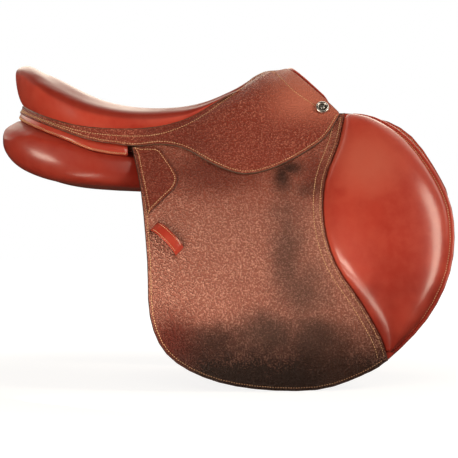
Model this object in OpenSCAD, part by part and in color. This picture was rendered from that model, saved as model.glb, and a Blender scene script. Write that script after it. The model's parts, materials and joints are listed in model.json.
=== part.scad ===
// Close contact jumping saddle, seen with the pommel towards +X and the horse's left at +Y.
// The origin lies in the mid plane, under the deepest point of the seat, where the panels bear.

/* [Seat] */
// Length of the seat over its welt, pommel to cantle
seat_l = 377; // [360:1:395]
// Width of the seat over its welt
seat_w = 264; // [240:1:280]
// Thickness of the seat leather
cover_t = 2.2; // [1.5:0.1:3]
// Foam under the rider at the deepest point of the seat
foam_t = 28; // [22:1:34]
// Diameter of the piped welt round the seat
welt_d = 4.4; // [3:0.1:5]
// Thickness of the webbing that is strained over the tree
web_t = 1.2; // [0.8:0.1:2]

/* [Tree] */
// Thickness of the laminated deck of the tree
deck_t = 9; // [7:0.5:11]
// Width of the tree's side rails
rail_w = 46; // [36:1:56]
// Thickness of the head arch and its points
head_t = 6; // [4:0.5:7]
// Width of the head arch, front to back
head_w = 42; // [36:1:48]
// Length of the tree points below the fold of the flap
point_l = 84; // [70:1:90]
// Thickness of the steel plate over the head
head_plate_t = 2; // [1.5:0.1:2.5]
// Width of the steel plate over the head
head_plate_w = 24; // [18:1:30]
// Thickness of the leather that lines the gullet
lining_t = 2; // [1.5:0.1:3]

/* [Flap] */
// Drop of the flap below its fold
flap_l = 364; // [340:1:390]
// Width of the flap with its forward block
flap_w = 436; // [416:1:450]
// Thickness of the flap's base leather
flap_t = 3.5; // [2.5:0.1:4.5]
// Thickness of the grained grip leather on the flap
grip_t = 2; // [1.5:0.1:2.5]
// Radius of the flap's sweep from its fold down to its lower edge
flap_r = 670; // [600:5:760]
// Lean of the flap from upright at its fold
flap_lean = 35; // [32:0.5:37]
// Height of the crown of the forward block
block_h = 22; // [14:1:28]
// Plain edge of the flap left round the block
block_border = 8; // [5:0.5:12]
// Length of the corner patch along the rear edge of the flap
patch_l = 97; // [80:1:105]
// Width of the corner patch
patch_w = 52; // [40:1:58]
// Thickness of the corner patch
patch_t = 1.8; // [1.2:0.1:2.4]

/* [Keeper] */
// Length of the keeper loop for the stirrup leather's end
keeper_l = 46; // [40:1:56]
// Width of the keeper loop
keeper_w = 16; // [12:1:20]
// Thickness of the keeper loop
keeper_t = 2.4; // [1.8:0.1:3]
// Room under the keeper loop
keeper_room = 7; // [6:0.5:9]

/* [Skirt] */
// Thickness of the skirt leather
skirt_t = 3.6; // [2.5:0.1:4.5]
// Length of the skirt's hanging lobe along its fold
lobe_l = 297; // [285:1:298]
// Drop of the skirt's hanging lobe
lobe_drop = 64; // [56:1:70]

/* [Panels] */
// Length of one panel
panel_l = 462; // [440:1:470]
// Width of one panel at its widest
panel_w = 112; // [100:1:116]
// Thickness of one panel at its deepest
panel_t = 60; // [50:1:62]
// Thickness of the facing strip above the panel
facing_t = 2.2; // [1.5:0.1:3]
// Depth of the facing strip below the skirt's rear strip
facing_drop = 15; // [10:0.5:18]

/* [Sweat flap] */
// Thickness of the sweat flap
sweat_t = 3.5; // [2.5:0.1:4]
// Thickness of the leather of the point pockets
pocket_t = 1.8; // [1.2:0.1:2.4]

/* [Girth straps] */
// Width of a girth strap
strap_w = 27; // [22:1:30]
// Thickness of a girth strap
strap_t = 3.6; // [3:0.1:4]
// Length of a girth strap
strap_l = 300; // [260:1:310]
// Spacing of the three girth straps
strap_pitch = 34; // [32:0.5:36]
// Number of buckle holes in a girth strap
strap_holes = 8; // [4:1:9]
// Diameter of a buckle hole
hole_d = 5; // [3:0.1:6]
// Spacing of the buckle holes
hole_pitch = 25; // [18:0.5:27]
// Distance from the strap's end to its first hole
hole_start = 30; // [22:1:40]
// Width of the buckle guard
guard_w = 102; // [100:1:104]
// Thickness of the webbing that carries the girth straps
girth_web_t = 1.4; // [1:0.1:1.8]
// Length of the buckle guard
guard_l = 70; // [56:1:84]
// Thickness of the buckle guard
guard_t = 1.2; // [0.8:0.1:1.3]

/* [Stirrup bars] */
// Length of the bar that the stirrup leather hangs on
bar_l = 82; // [76:1:84]
// Depth of the bar
bar_w = 13; // [10:0.5:15]
// Thickness of the bar
bar_t = 5; // [4:0.1:5.4]
// Gap behind the bar for the stirrup leather
bar_gap = 9; // [8.6:0.1:9.4]
// Thickness of the bar's back plate
bar_plate_t = 3; // [2.5:0.1:3.2]
// Diameter of the rivets that hold the bar
rivet_d = 6; // [4:0.1:7]
// Length of the hinged catch
catch_l = 22; // [18:1:24]
// Diameter of the catch's hinge pin
pin_d = 3; // [2:0.1:4]

/* [Studs] */
// Diameter of a pommel stud
stud_d = 17; // [13:0.5:18]
// Height of a pommel stud
stud_h = 4; // [3:0.5:6]
// Diameter of the socket in a pommel stud
socket_d = 8; // [5:0.5:9]

/* [Clearances] */
// Gap between leathers that lie on each other
ply_gap = 0.2; // [0.15:0.05:0.3]
// Gap between pieces that move on each other
move_gap = 0.6; // [0.4:0.1:0.8]
// Room behind the girth straps for their swing
swing_gap = 3; // [2.6:0.1:3.4]
// Difference in diameter between a pin or rivet and its hole
pin_fit = 0.3; // [0.2:0.05:0.4]

/* [Hidden] */
$fn = 96;
arc_fn = 480;

red_leather = "#8e2a1c";
grained_leather = "#7d3a2a";
grip_leather = "#9a5b45";
dark_leather = "#3f1b14";
steel = "#b9bcc0";
beech = "#c9a877";
foam_white = "#e8e0cf";
webbing = "#d6c7a4";

// The fold of the flap and skirt, on the horse's right, with its toe-in and its rise to the front.
fold_at = [-40, -113, 50];
fold_toe = 8.4;
fold_rise = 9.4;

// Faces of the layers, counted outwards from the face of the flap's base leather.
grip_in = ply_gap;
grip_out = grip_in + grip_t;
patch_in = grip_out + ply_gap;
skirt_in = grip_out + move_gap;
skirt_out = skirt_in + skirt_t;
flap_in = -flap_t;
bar_out = grip_out - ply_gap;
bar_in = bar_out - bar_t;
bar_plate_out = bar_in - bar_gap;
bar_plate_in = bar_plate_out - bar_plate_t;
point_out = bar_plate_in - ply_gap;
point_in = point_out - head_t;
web_out = bar_plate_in - ply_gap;
strap_out = web_out - girth_web_t - ply_gap;
strap_in = strap_out - strap_t;
guard_in = strap_out + ply_gap;
guard_out = guard_in + guard_t;
guard_back = strap_in - ply_gap - guard_t;
sweat_out = strap_in - swing_gap;
sweat_in = sweat_out - sweat_t;

// Centre of the sweep of the flap, in the frame of the fold, whose line runs along the skirt's face.
sweep_y = (flap_r + skirt_out)*cos(flap_lean);
sweep_h = -(flap_r + skirt_out)*sin(flap_lean);

// Small tools

function mix(a, b, t) = a + (b - a)*t;
function unit(v) = v/norm(v);
function ease(t) = t*t*(3 - 2*t);
function other_side(p) = [p.x, -p.y, p.z];
function reversed(p) = [for (i = [len(p) - 1:-1:0]) p[i]];
// Two lists that share the point where they meet
function joined(p, q) = concat(p, [for (i = [1:len(q) - 1]) q[i]]);

// A point at t between b and c on the curve through a, b, c and d
function bend(a, b, c, d, t) =
    0.5*(2*b + (c - a)*t + (2*a - 5*b + 4*c - d)*t*t + (3*b - a - 3*c + d)*t*t*t);

// A curve through the points p, with n steps from each to the next
function smooth(p, n) = [
    for (i = [0:len(p) - 2])
        for (k = [0:n - 1])
            bend(p[max(i - 1, 0)], p[i], p[i + 1], p[min(i + 2, len(p) - 1)], k/n),
    p[len(p) - 1]
];

function grid_normal(p, i, j) =
    let (n = len(p) - 1, m = len(p[0]) - 1)
    unit(cross(p[min(i + 1, n)][j] - p[max(i - 1, 0)][j],
               p[i][min(j + 1, m)] - p[i][max(j - 1, 0)]));

function lowered(p, t) = [
    for (i = [0:len(p) - 1]) [for (j = [0:len(p[0]) - 1]) p[i][j] - t*grid_normal(p, i, j)]
];

// A closed solid between two open grids of points of the same size
module skin(top, bottom) {
    n = len(top);
    m = len(top[0]);
    function up(i, j) = i*m + j;
    function low(i, j) = n*m + i*m + j;
    points = concat([for (r = top) each r], [for (r = bottom) each r]);
    faces = [
        for (i = [0:n - 2]) for (j = [0:m - 2]) each [
            [up(i, j), up(i, j + 1), up(i + 1, j + 1)], [up(i, j), up(i + 1, j + 1), up(i + 1, j)],
            [low(i, j), low(i + 1, j), low(i + 1, j + 1)], [low(i, j), low(i + 1, j + 1), low(i, j + 1)]],
        for (i = [0:n - 2]) each [
            [up(i, 0), up(i + 1, 0), low(i + 1, 0)], [up(i, 0), low(i + 1, 0), low(i, 0)],
            [up(i + 1, m - 1), up(i, m - 1), low(i, m - 1)],
            [up(i + 1, m - 1), low(i, m - 1), low(i + 1, m - 1)]],
        for (j = [0:m - 2]) each [
            [up(0, j + 1), up(0, j), low(0, j)], [up(0, j + 1), low(0, j), low(0, j + 1)],
            [up(n - 1, j), up(n - 1, j + 1), low(n - 1, j + 1)],
            [up(n - 1, j), low(n - 1, j + 1), low(n - 1, j)]]
    ];
    polyhedron(points, faces);
}

// Leather of thickness t under the face given by a grid of points
module sheet(p, t) {
    skin(p, lowered(p, t));
}

// A closed solid between two stacks of rings round the seat, from its middle to its edge
module ring_solid(top, bottom, open_middle = false) {
    n = len(top[0]);
    last = len(top) - 1;
    foot = len(bottom) - 1;
    function up(j, i) = j*n + i%n;
    function low(j, i) = (last + 1 + j)*n + i%n;
    points = concat([for (r = top) each r], [for (r = bottom) each r]);
    faces = [
        for (j = [0:last - 1]) for (i = [0:n - 1]) each [
            [up(j, i), up(j + 1, i), up(j + 1, i + 1)], [up(j, i), up(j + 1, i + 1), up(j, i + 1)]],
        for (j = [0:foot - 1]) for (i = [0:n - 1]) each [
            [low(j, i), low(j + 1, i + 1), low(j + 1, i)], [low(j, i), low(j, i + 1), low(j + 1, i + 1)]],
        for (i = [0:n - 1]) each [
            [up(last, i + 1), up(last, i), low(foot, i)], [up(last, i + 1), low(foot, i), low(foot, i + 1)]],
        if (open_middle) for (i = [0:n - 1]) each [
            [up(0, i), up(0, i + 1), low(0, i + 1)], [up(0, i), low(0, i + 1), low(0, i)]]
    ];
    polyhedron(points, faces);
}

// A solid through closed rings of points, with flat or pointed ends
module loft(rings) {
    n = len(rings);
    m = len(rings[0]);
    function at(i, j) = i*m + j%m;
    faces = [
        for (i = [0:n - 2]) for (j = [0:m - 1]) each [
            [at(i, j), at(i, j + 1), at(i + 1, j + 1)], [at(i, j), at(i + 1, j + 1), at(i + 1, j)]],
        for (j = [1:m - 2]) each [
            [at(0, 0), at(0, j + 1), at(0, j)], [at(n - 1, 0), at(n - 1, j), at(n - 1, j + 1)]]
    ];
    polyhedron([for (r = rings) each r], faces);
}

// Rings of a round cord of radius r along the points p
function cord_rings(p, r, sides) = [
    for (i = [0:len(p) - 1])
        let (along = unit(p[min(i + 1, len(p) - 1)] - p[max(i - 1, 0)]),
             across = unit(cross(along, [0, 0, 1])),
             over = cross(across, along))
        [for (k = [0:sides - 1]) p[i] + r*(across*cos(360*k/sides) + over*sin(360*k/sides))]
];

// The right side as drawn, or its mirror image on the left
module side(left) {
    if (left) mirror([0, 1, 0]) children();
    else children();
}

// The seat
// Rows from pommel to cantle: percent along, percent of the half width, heights of the middle,
// the rim and the welt, place of the rim along the rib, overhang of the roll past the welt, height
// of the roll's widest point, and the foam's share of foam_t at the middle and at the rim.
seat_front = 175;
seat_rows = [
    [0, 0, 160.5, 169.5, 165, 0.70, 1.5, 0.5, 0.25, 0.25],
    [1.9, 13, 159, 169, 164.5, 0.70, 1.5, 0.5, 0.25, 0.25],
    [7.2, 24, 152, 162, 158, 0.70, 1.5, 0.5, 0.28, 0.25],
    [13, 32.6, 145.5, 149.5, 145, 0.70, 1.5, 0.5, 0.32, 0.28],
    [19.9, 40, 134.5, 134, 129.5, 0.70, 1.5, 0.5, 0.40, 0.34],
    [26.3, 47.7, 123.5, 121.8, 115.5, 0.70, 2, 0.5, 0.55, 0.50],
    [35.5, 60, 113, 110, 93, 0.72, 3, 0.5, 0.80, 0.75],
    [46.4, 74, 106.8, 106.5, 79.5, 0.74, 4, 0.5, 1.00, 1.00],
    [56.8, 88, 105.2, 107.2, 75, 0.75, 5, 0.5, 1.00, 1.00],
    [68.7, 98.5, 106.8, 116, 75.5, 0.76, 6, 0.5, 1.00, 0.95],
    [78.2, 100, 109.5, 130.5, 80, 0.77, 7, 0.55, 0.95, 0.85],
    [89.4, 79.5, 114, 153.5, 93.5, 0.82, 10, 0.65, 0.90, 0.65],
    [96.8, 44, 117.5, 167, 107, 0.88, 13, 0.75, 0.85, 0.55],
    [100, 0, 119, 171, 115, 0.93, 14, 0.79, 0.85, 0.50]
];
seat_steps = 2;
last_row = len(seat_rows) - 1;
function crossed(row) = [for (k = [0:len(row) - 1]) k == 1 ? -row[k] : row[k]];
function seat_row(i) = i < 0 ? crossed(seat_rows[-i])
    : i > last_row ? crossed(seat_rows[2*last_row - i]) : seat_rows[i];
function row_at(s) =
    let (i = min(floor(s), last_row - 1))
    bend(seat_row(i - 1), seat_row(i), seat_row(i + 1), seat_row(i + 2), s - i);
seat_ribs = [for (i = [0:last_row*seat_steps]) row_at(i/seat_steps)];

// Ribs run square to the mid line, and fan out round the two ends.
fan_front = 110;
fan_rear = -60;
fan_share = 0.5;
function rib_x(row) = seat_front - row[0]*seat_l/100;
function rib_y(row) = row[1]*seat_w/200;
function middle_x(x) = x > fan_front ? mix(fan_front, x, fan_share)
    : x < fan_rear ? mix(fan_rear, x, fan_share) : x;
function rib_length(row) = norm([rib_x(row) - middle_x(rib_x(row)), rib_y(row)]);
function rib_point(row, share, z) =
    [mix(middle_x(rib_x(row)), rib_x(row), share), -rib_y(row)*share, z];

// A point on the seat's face, v from 0 at the middle over the rim to 1 at the welt, d below the face
function seat_point(row, v, d) =
    let (inset = d/rib_length(row), reach = 1 + row[6]/rib_length(row) - inset,
         turn = max(v - 0.5, 0)*360, widest = mix(row[4], row[3] - d, row[7]))
    v <= 0.5 ? rib_point(row, 2*v*row[5], mix(row[2], row[3], ease(2*v)) - d)
    : turn <= 90 ? rib_point(row, mix(row[5], reach, sin(turn)), mix(widest, row[3] - d, cos(turn)))
    : rib_point(row, mix(1 - inset, reach, sin(turn)), mix(widest, row[4], -cos(turn)));

// The tree's deck, at a share of the way from the middle to the welt
edge_share = 0.9;
function deck_edge(row) = max(edge_share, row[5] + 0.02);
function deck_z(row, share) =
    mix(row[2] - row[8]*foam_t, row[3] - row[9]*foam_t, ease(min(share/row[5], 1)));
function deck_point(row, share, up) = rib_point(row, share, deck_z(row, share) + up);

// Steps across the deck: two over the opening, then across the rail to the deck's edge
rail_v = [0, 0.3, 0.65, 1];
opening_steps = 2;
rail_inside = opening_steps;
rail_lap = opening_steps + 1;
rail_outside = opening_steps + len(rail_v) - 1;
narrowest_opening = 0.3;
function rail_share(row) = max(narrowest_opening, deck_edge(row) - rail_w/rib_length(row));
function deck_share(row, k) = k < opening_steps ? rail_share(row)*k/opening_steps
    : mix(rail_share(row), deck_edge(row), rail_v[k - opening_steps]);

// All the way round: the right side from pommel to cantle, then back along the left
function all_round(points) =
    concat(points, [for (i = [len(points) - 2:-1:1]) other_side(points[i])]);
function seat_ring(v, d) = all_round([for (row = seat_ribs) seat_point(row, v, d)]);
function deck_ring(k, up) = all_round([for (row = seat_ribs) deck_point(row, deck_share(row, k), up)]);
function deck_rings(first, last, up) = [for (k = [first:last]) deck_ring(k, up)];

web_low = ply_gap;
web_top = web_low + web_t;
foam_low = web_top + ply_gap;
foam_in = cover_t + 2*ply_gap;
seat_v = [0, 0.15, 0.3, 0.4, 0.5, 0.58, 0.66, 0.75, 0.87, 1];
function foam_edge(row) = min(deck_edge(row) + 0.02, 0.99 - foam_in/rib_length(row));

module tree_deck() {
    color(beech)
        ring_solid(deck_rings(rail_inside, rail_outside, 0),
                   deck_rings(rail_inside, rail_outside, -deck_t), true);
}

module seat_web() {
    color(webbing)
        ring_solid(deck_rings(0, rail_outside - 1, web_top), deck_rings(0, rail_outside - 1, web_low));
}

module gullet_lining() {
    low = -deck_t - ply_gap;
    color(dark_leather)
        ring_solid(deck_rings(0, rail_lap, low), deck_rings(0, rail_lap, low - lining_t));
}

module seat_foam() {
    edge = all_round([for (row = seat_ribs) deck_point(row, foam_edge(row), foam_low)]);
    color(foam_white)
        ring_solid([for (v = seat_v) seat_ring(v, foam_in)],
                   concat(deck_rings(0, rail_outside, foam_low), [edge]));
}

module seat_cover() {
    color(red_leather)
        ring_solid([for (v = seat_v) seat_ring(v, 0)], [for (v = seat_v) seat_ring(v, cover_t)]);
}

// The welt lies under the edge of the seat leather, and the skirt starts under the welt.
welt_drop = welt_d/2 + 2*ply_gap;
skirt_top_drop = welt_d + 4*ply_gap;
skirt_top_out = 2.8;
welt_out = 0.6;
function outward(row) = unit([rib_x(row) - middle_x(rib_x(row)), -rib_y(row), 0]);
function below_seat(row, out, down) = rib_point(row, 1, row[4]) + out*outward(row) - [0, 0, down];

module seat_welt() {
    path = all_round([for (row = seat_ribs) below_seat(row, welt_out, welt_drop)]);
    n = len(path);
    sides = 6;
    closed = [for (i = [-1:n + 1]) path[(i + n)%n]];
    rings = cord_rings(closed, welt_d/2, sides);
    function at(i, j) = (i%n)*sides + j%sides;
    color(dark_leather)
        polyhedron([for (i = [1:n]) each rings[i]],
            [for (i = [0:n - 1]) for (j = [0:sides - 1]) each [
                [at(i, j), at(i, j + 1), at(i + 1, j + 1)], [at(i, j), at(i + 1, j + 1), at(i + 1, j)]]]);
}

// The frame of the fold: u runs forward along it, h rises from it, and -y is outwards.

module at_fold() {
    translate(fold_at) rotate([0, 0, fold_toe]) rotate([0, -fold_rise, 0]) children();
}

function from_fold(p) =
    let (x = p.x*cos(fold_rise) - p.z*sin(fold_rise), z = p.x*sin(fold_rise) + p.z*cos(fold_rise))
    fold_at + [x*cos(fold_toe) - p.y*sin(fold_toe), x*sin(fold_toe) + p.y*cos(fold_toe), z];

function lean_at(h, out = 0) = asin((h - sweep_h)/(flap_r + out));
// A point out from the flap's face, at the height h
function on_sweep(u, h, out) = [u, sweep_y - (flap_r + out)*cos(lean_at(h, out)), h];
// A point square out from the flap's face at the height h
function off_face(u, h, out) =
    [u, sweep_y - (flap_r + out)*cos(lean_at(h)), sweep_h + (flap_r + out)*sin(lean_at(h))];

// A frame on the flap's face at u, h, with x along the fold, y inwards and z up the face
module on_face(u, h) {
    translate(on_sweep(u, h, 0)) rotate([-lean_at(h), 0, 0]) children();
}

// Leather between two faces of the sweep, cut to an outline in u and h
sweep_run = 700;
cut_depth = 320;
module leather(inner, outer, outline) {
    intersection() {
        translate([-sweep_run/4, sweep_y, sweep_h]) rotate([0, 90, 0]) difference() {
            cylinder(r = flap_r + outer, h = sweep_run, $fn = arc_fn);
            translate([0, 0, -1]) cylinder(r = flap_r + inner, h = sweep_run + 2, $fn = arc_fn);
        }
        translate([0, cut_depth/4, 0]) rotate([90, 0, 0]) linear_extrude(height = cut_depth) polygon(outline);
    }
}

// Outlines are given in percent of their own width and drop.
function sized(p, w, l) = [for (q = p) [q.x*w/100, q.y*l/100]];
function rectangle(u0, u1, h0, h1) = [[u0, h0], [u1, h0], [u1, h1], [u0, h1]];

flap_rear = [[0.2, -0.3], [0, -16.5], [-2.5, -42.6], [-5, -63.2], [-2.1, -77.5], [7.8, -88.2],
    [22.5, -95.6], [41.7, -100], [56, -97.8], [64.9, -94]];
flap_front = [[64.9, -94], [79.6, -81.8], [89.9, -66.2], [94.9, -48], [94.3, -33], [88.5, -14.6],
    [79.6, -3.8], [70.2, -0.3]];
grip_front = [[64.9, -94], [64, -85.4], [59.9, -71.2], [54.6, -55.8], [53.9, -40.4], [57.6, -25],
    [65.1, -11.8], [70.2, -0.3]];
flap_path = sized(smooth(joined(flap_rear, flap_front), 3), flap_w, flap_l);
grip_path = sized(joined(smooth(flap_rear, 3), smooth(grip_front, 3)), flap_w, flap_l);

// The window in the flap, under the skirt, where the stirrup leather passes to its bar
bar_u = 140;
bar_h = -27;
window_end = 7;
window_below = 10;
window_above = 13;
window_u0 = bar_u - catch_l - window_end;
window_u1 = bar_u + bar_l + window_end;
window_h0 = bar_h - bar_w/2 - window_below;
window_h1 = bar_h + bar_w/2 + window_above;

module bar_window() {
    translate([window_u0, cut_depth/4, 0]) rotate([90, 0, 0])
        linear_extrude(height = cut_depth)
            translate([0, window_h0]) square([window_u1 - window_u0, window_h1 - window_h0]);
}

module flap(left) {
    color(red_leather) side(left) at_fold() difference() {
        leather(flap_in, 0, flap_path);
        bar_window();
    }
}

module grip(left) {
    color(grip_leather) side(left) at_fold() difference() {
        leather(grip_in, grip_out, grip_path);
        bar_window();
    }
}

patch_shape = [[8, -3], [66, -8], [86, -27], [99, -47], [100, -58], [86, -70], [50, -83], [4, -100]];
patch_path = sized(smooth(patch_shape, 3), patch_w, patch_l);

module patch(left) {
    color(grained_leather) side(left) at_fold() leather(patch_in, patch_in + patch_t, patch_path);
}

// The forward block is a stuffed pad between the grip leather's front edge and the flap's edge.
block_along = [0.05, 0.1, 0.17, 0.25, 0.33, 0.42, 0.5, 0.58, 0.66, 0.74, 0.81, 0.87, 0.92, 0.955];
block_across = [0, 0.05, 0.14, 0.28, 0.5, 0.72, 0.86, 0.95, 1];
block_inner = sized(smooth(reversed(grip_front), 8), flap_w, flap_l);
block_outer = sized(smooth(reversed(flap_front), 8), flap_w, flap_l);
block_gap = 1.2;
function along_path(p, s) =
    let (t = s*(len(p) - 1), i = min(floor(t), len(p) - 2)) mix(p[i], p[i + 1], t - i);
function block_uv(s, v) =
    let (a = along_path(block_inner, s), b = along_path(block_outer, s), d = unit(b - a))
    mix(a + block_gap*d, b - block_border*d, v);
function block_crown(s, v) =
    let (across = pow(1 - pow(abs(2*v - 1), 3.2), 0.6), ends = pow(1 - pow(abs(2*s - 1), 5), 0.7))
    1 + (block_h - 1)*across*ends;
function block_face(s, v, out) = let (p = block_uv(s, v)) off_face(p.x, p.y, out);

module block(left) {
    color(red_leather) side(left) at_fold()
        skin([for (s = block_along) [for (v = block_across) block_face(s, v, block_crown(s, v))]],
             [for (s = block_along) [for (v = block_across) block_face(s, v, 2*ply_gap)]]);
}

// The keeper loop slants down to the front, sewn down at both ends.
keeper_u = 21;
keeper_h = -134;
keeper_turn = 55;
keeper_foot = 7;
keeper_base = grip_out + 2*ply_gap;

module keeper(left) {
    half = keeper_l/2;
    foot = half - keeper_foot;
    span = foot - keeper_room*0.7;
    profile = [[-half, 0], [-half, keeper_t], [-foot - keeper_t*0.3, keeper_t],
        [-span - keeper_t*0.5, keeper_room + keeper_t], [span + keeper_t*0.5, keeper_room + keeper_t],
        [foot + keeper_t*0.3, keeper_t], [half, keeper_t], [half, 0],
        [foot, 0], [span, keeper_room], [-span, keeper_room], [-foot, 0]];
    color(red_leather) side(left) at_fold() on_face(keeper_u, keeper_h) rotate([0, keeper_turn, 0])
        translate([0, -keeper_base, -keeper_w/2]) linear_extrude(height = keeper_w)
            mirror([0, 1]) polygon(profile);
}

// The skirt above its fold, with the strip that runs on round the cantle
// Each row has its place along the seat rows, its foot, and how far it bulges.
fold_seam = 1.6;
// Room left at the mid plane, where the two skirts meet behind the cantle
mid_gap = 5*ply_gap;
function fold_foot(share) = from_fold([share*lobe_l, 0, fold_seam]);
skirt_rows = [
    [1, fold_foot(1), 11], [2, fold_foot(0.84), 9], [3, fold_foot(0.69), 7], [4, fold_foot(0.55), 6],
    [5, fold_foot(0.42), 5], [6, fold_foot(0.28), 4], [7, fold_foot(0.14), 3], [8, [-41, -117, 51], 1.5],
    [9, [-88, -136, 55], 1], [10, [-125, -138, 67], 1], [11, [-167, -111, 83], 1],
    [12, [-196, -61, 96], 1], [13, [-208, -mid_gap - 0.4, 103], 1]
];
skirt_steps = 2;
skirt_across = [0, 0.2, 0.4, 0.6, 0.8, 1];
skirt_tops = smooth([for (r = skirt_rows) below_seat(row_at(r[0]), skirt_top_out, skirt_top_drop)
    - [0, r[0] == last_row ? mid_gap : 0, 0]], skirt_steps);
skirt_feet = smooth([for (r = skirt_rows) r[1]], skirt_steps);
skirt_bulge = smooth([for (r = skirt_rows) r[2]], skirt_steps);
function skirt_point(i, t) =
    let (a = skirt_tops[i], b = skirt_feet[i], out = unit([0, a.z - b.z, b.y - a.y]))
    mix(a, b, t) + skirt_bulge[i]*sin(180*pow(t, 0.8))*[0, -abs(out.y), abs(out.z)];
skirt_grid = [for (i = [0:len(skirt_tops) - 1]) [for (t = skirt_across) skirt_point(i, t)]];

module skirt(left) {
    color(grained_leather) side(left) sheet(skirt_grid, skirt_t);
}

lobe_shape = [[12.3, -3], [23.5, -20], [36, -69], [49.7, -100], [68.5, -89], [89.6, -50],
    [97.5, -14], [100, -3]];
lobe_edge = sized(smooth(lobe_shape, 3), lobe_l, lobe_drop);
lobe_path = concat([[lobe_l, -move_gap/2], [lobe_edge[0].x, -move_gap/2]], lobe_edge);

module skirt_lobe(left) {
    color(grained_leather) side(left) at_fold() leather(skirt_in, skirt_out, lobe_path);
}

// The pommel

roll_d = 8;
roll_half = smooth([[182.5, 0, 166.5], [187.5, -17, 163], [204, -34.5, 147.5], [222, -46.5, 129.5],
    [240, -56, 112], [252, -61, 101.5]], 3);
roll_path = concat([for (i = [len(roll_half) - 1:-1:1]) roll_half[i]], [for (p = roll_half) other_side(p)]);

module pommel_roll() {
    color(red_leather) loft(cord_rings(roll_path, roll_d/2, 8));
}

// The facing closes the front of the arch, from behind the roll to the edge of the gullet.
facing_inner = smooth([[187, 0, 131], [190, -13, 128], [201, -25, 117], [215, -32, 101], [229, -37, 86]], 3);
facing_bulge = 4;
function facing_outer(i) =
    roll_half[i] + (roll_d/2 + 2*ply_gap)*unit(facing_inner[i] - roll_half[i]);
function facing_row(i) = [for (t = [1, 0.7, 0.35, 0])
    mix(facing_outer(i), facing_inner[i], t) + facing_bulge*sin(180*t)*[1, 0, 0]];
facing_half = [for (i = [0:len(facing_inner) - 1]) facing_row(i)];
function row_across(row) = [for (p = row) other_side(p)];
pommel_grid = concat([for (i = [len(facing_half) - 1:-1:1]) facing_half[i]],
    [for (r = facing_half) row_across(r)]);

module pommel_facing() {
    color(red_leather) sheet(pommel_grid, lining_t);
}

// The head of the tree arches under the front of the deck, and its points run down inside the flap.
head_u = 245;
head_top = deck_z(seat_ribs[0], 0) - deck_t - lining_t - 3*ply_gap - head_plate_t - head_t/2;
point_mid = (point_in + point_out)/2;
head_lean = 0.1;
function head_leg(h) = from_fold(on_sweep(head_u, h, point_mid));
head_half = smooth([[160, 0, head_top], [162, -17, head_top - 3], [172, -33, head_top - 15],
    head_leg(-4), head_leg(-point_l*0.3), head_leg(-point_l*0.65), head_leg(-point_l)], 3);
head_along = [1, 0, head_lean];
leg_along = unit(from_fold([1, 0, 0]) - from_fold([0, 0, 0]));
function head_grid(w, lift) =
    let (n = len(head_half) - 1,
         half = [for (i = [0:n])
            let (d = unit(mix(head_along, leg_along, min(2*i/n, 1))),
                 narrow = w*mix(1, 0.7, max(2*i/n - 1, 0)),
                 along = head_half[min(i + 1, n)] - head_half[max(i - 1, 0)],
                 n_out = i == 0 ? [0, 0, 1] : unit(cross(along, d)))
            [for (t = [0.5, -0.5]) head_half[i] + t*narrow*d + lift*n_out]])
    concat([for (i = [n:-1:1]) half[i]], [for (r = half) row_across(r)]);

module tree_head() {
    color(beech) skin(head_grid(head_w, head_t/2), head_grid(head_w, -head_t/2));
}

module head_plate() {
    rows = head_grid(head_plate_w, head_t/2 + ply_gap);
    tops = head_grid(head_plate_w, head_t/2 + ply_gap + head_plate_t);
    trim = 6;
    last = len(rows) - 1 - trim;
    color(steel) skin([for (i = [trim:last]) tops[i]], [for (i = [trim:last]) rows[i]]);
}

// Panels: rows of percent along, middle of the section, half width and half thickness in percent
// of the panel's, and tilt
panel_front = 238;
panel_rows = [
    [0, 65, 24, 26.8, 5, 57], [2.2, 65.5, 20, 41, 15, 57], [8.2, 67, 14, 48, 21.7, 57],
    [21.2, 66, 13, 44.5, 26.7, 55], [34.2, 64.5, 17, 39.3, 28.3, 48], [47.2, 60.5, 20.5, 36, 31.7, 36],
    [60.2, 77, 18.5, 43, 35, 14], [71, 90, 21.5, 48, 41, 5], [81.8, 90, 31.5, 50, 50, 3],
    [90.5, 82, 45, 46.5, 53, 2], [95.9, 75, 56, 38, 47.5, 1], [98.9, 69, 61, 25, 28, 0],
    [100, 67, 61.5, 8, 8.3, 0]
];
panel_fullness = 3;
panel_sides = 18;
panel_steps = 2;
function panel_ring(r) = [
    for (k = [0:panel_sides - 1])
        let (c = cos(-360*k/panel_sides), s = sin(-360*k/panel_sides),
             across = sign(c)*pow(abs(c), 2/panel_fullness)*r[3]*panel_w/100,
             up = sign(s)*pow(abs(s), 2/panel_fullness)*r[4]*panel_t/100)
        [panel_front - r[0]*panel_l/100,
         -r[1] - across*cos(r[5]) - up*sin(r[5]),
         r[2] - across*sin(r[5]) + up*cos(r[5])]
];

module panel(left) {
    color(red_leather) side(left) loft([for (r = smooth(panel_rows, panel_steps)) panel_ring(r)]);
}

// The facing strip hangs inside the skirt's rear strip and covers the top of the panel.
strip_from = 14;
strip_start = 0.08;
strip_rows = concat([mix(skirt_feet[strip_from], skirt_feet[strip_from + 1], strip_start)],
    [for (i = [strip_from + 1:len(skirt_feet) - 1]) skirt_feet[i]]);
function strip_out(i) =
    let (n = len(strip_rows) - 1, d = strip_rows[min(i + 1, n)] - strip_rows[max(i - 1, 0)])
    i == n ? [-1, 0, 0] : unit([-d.y, d.x, 0]);
strip_lap = 4;
strip_set = skirt_t + 5*ply_gap;
strip_slope = 2.5;
rear_drop_share = 0.6;
strip_grid = [for (i = [0:len(strip_rows) - 1])
    let (back = strip_rows[i] - strip_set*strip_out(i),
         drop = facing_drop*mix(1, rear_drop_share, i/(len(strip_rows) - 1)))
    [back - strip_slope*strip_out(i) + [0, 0, strip_lap], back - [0, 0, drop*0.4], back - [0, 0, drop]]];

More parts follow.
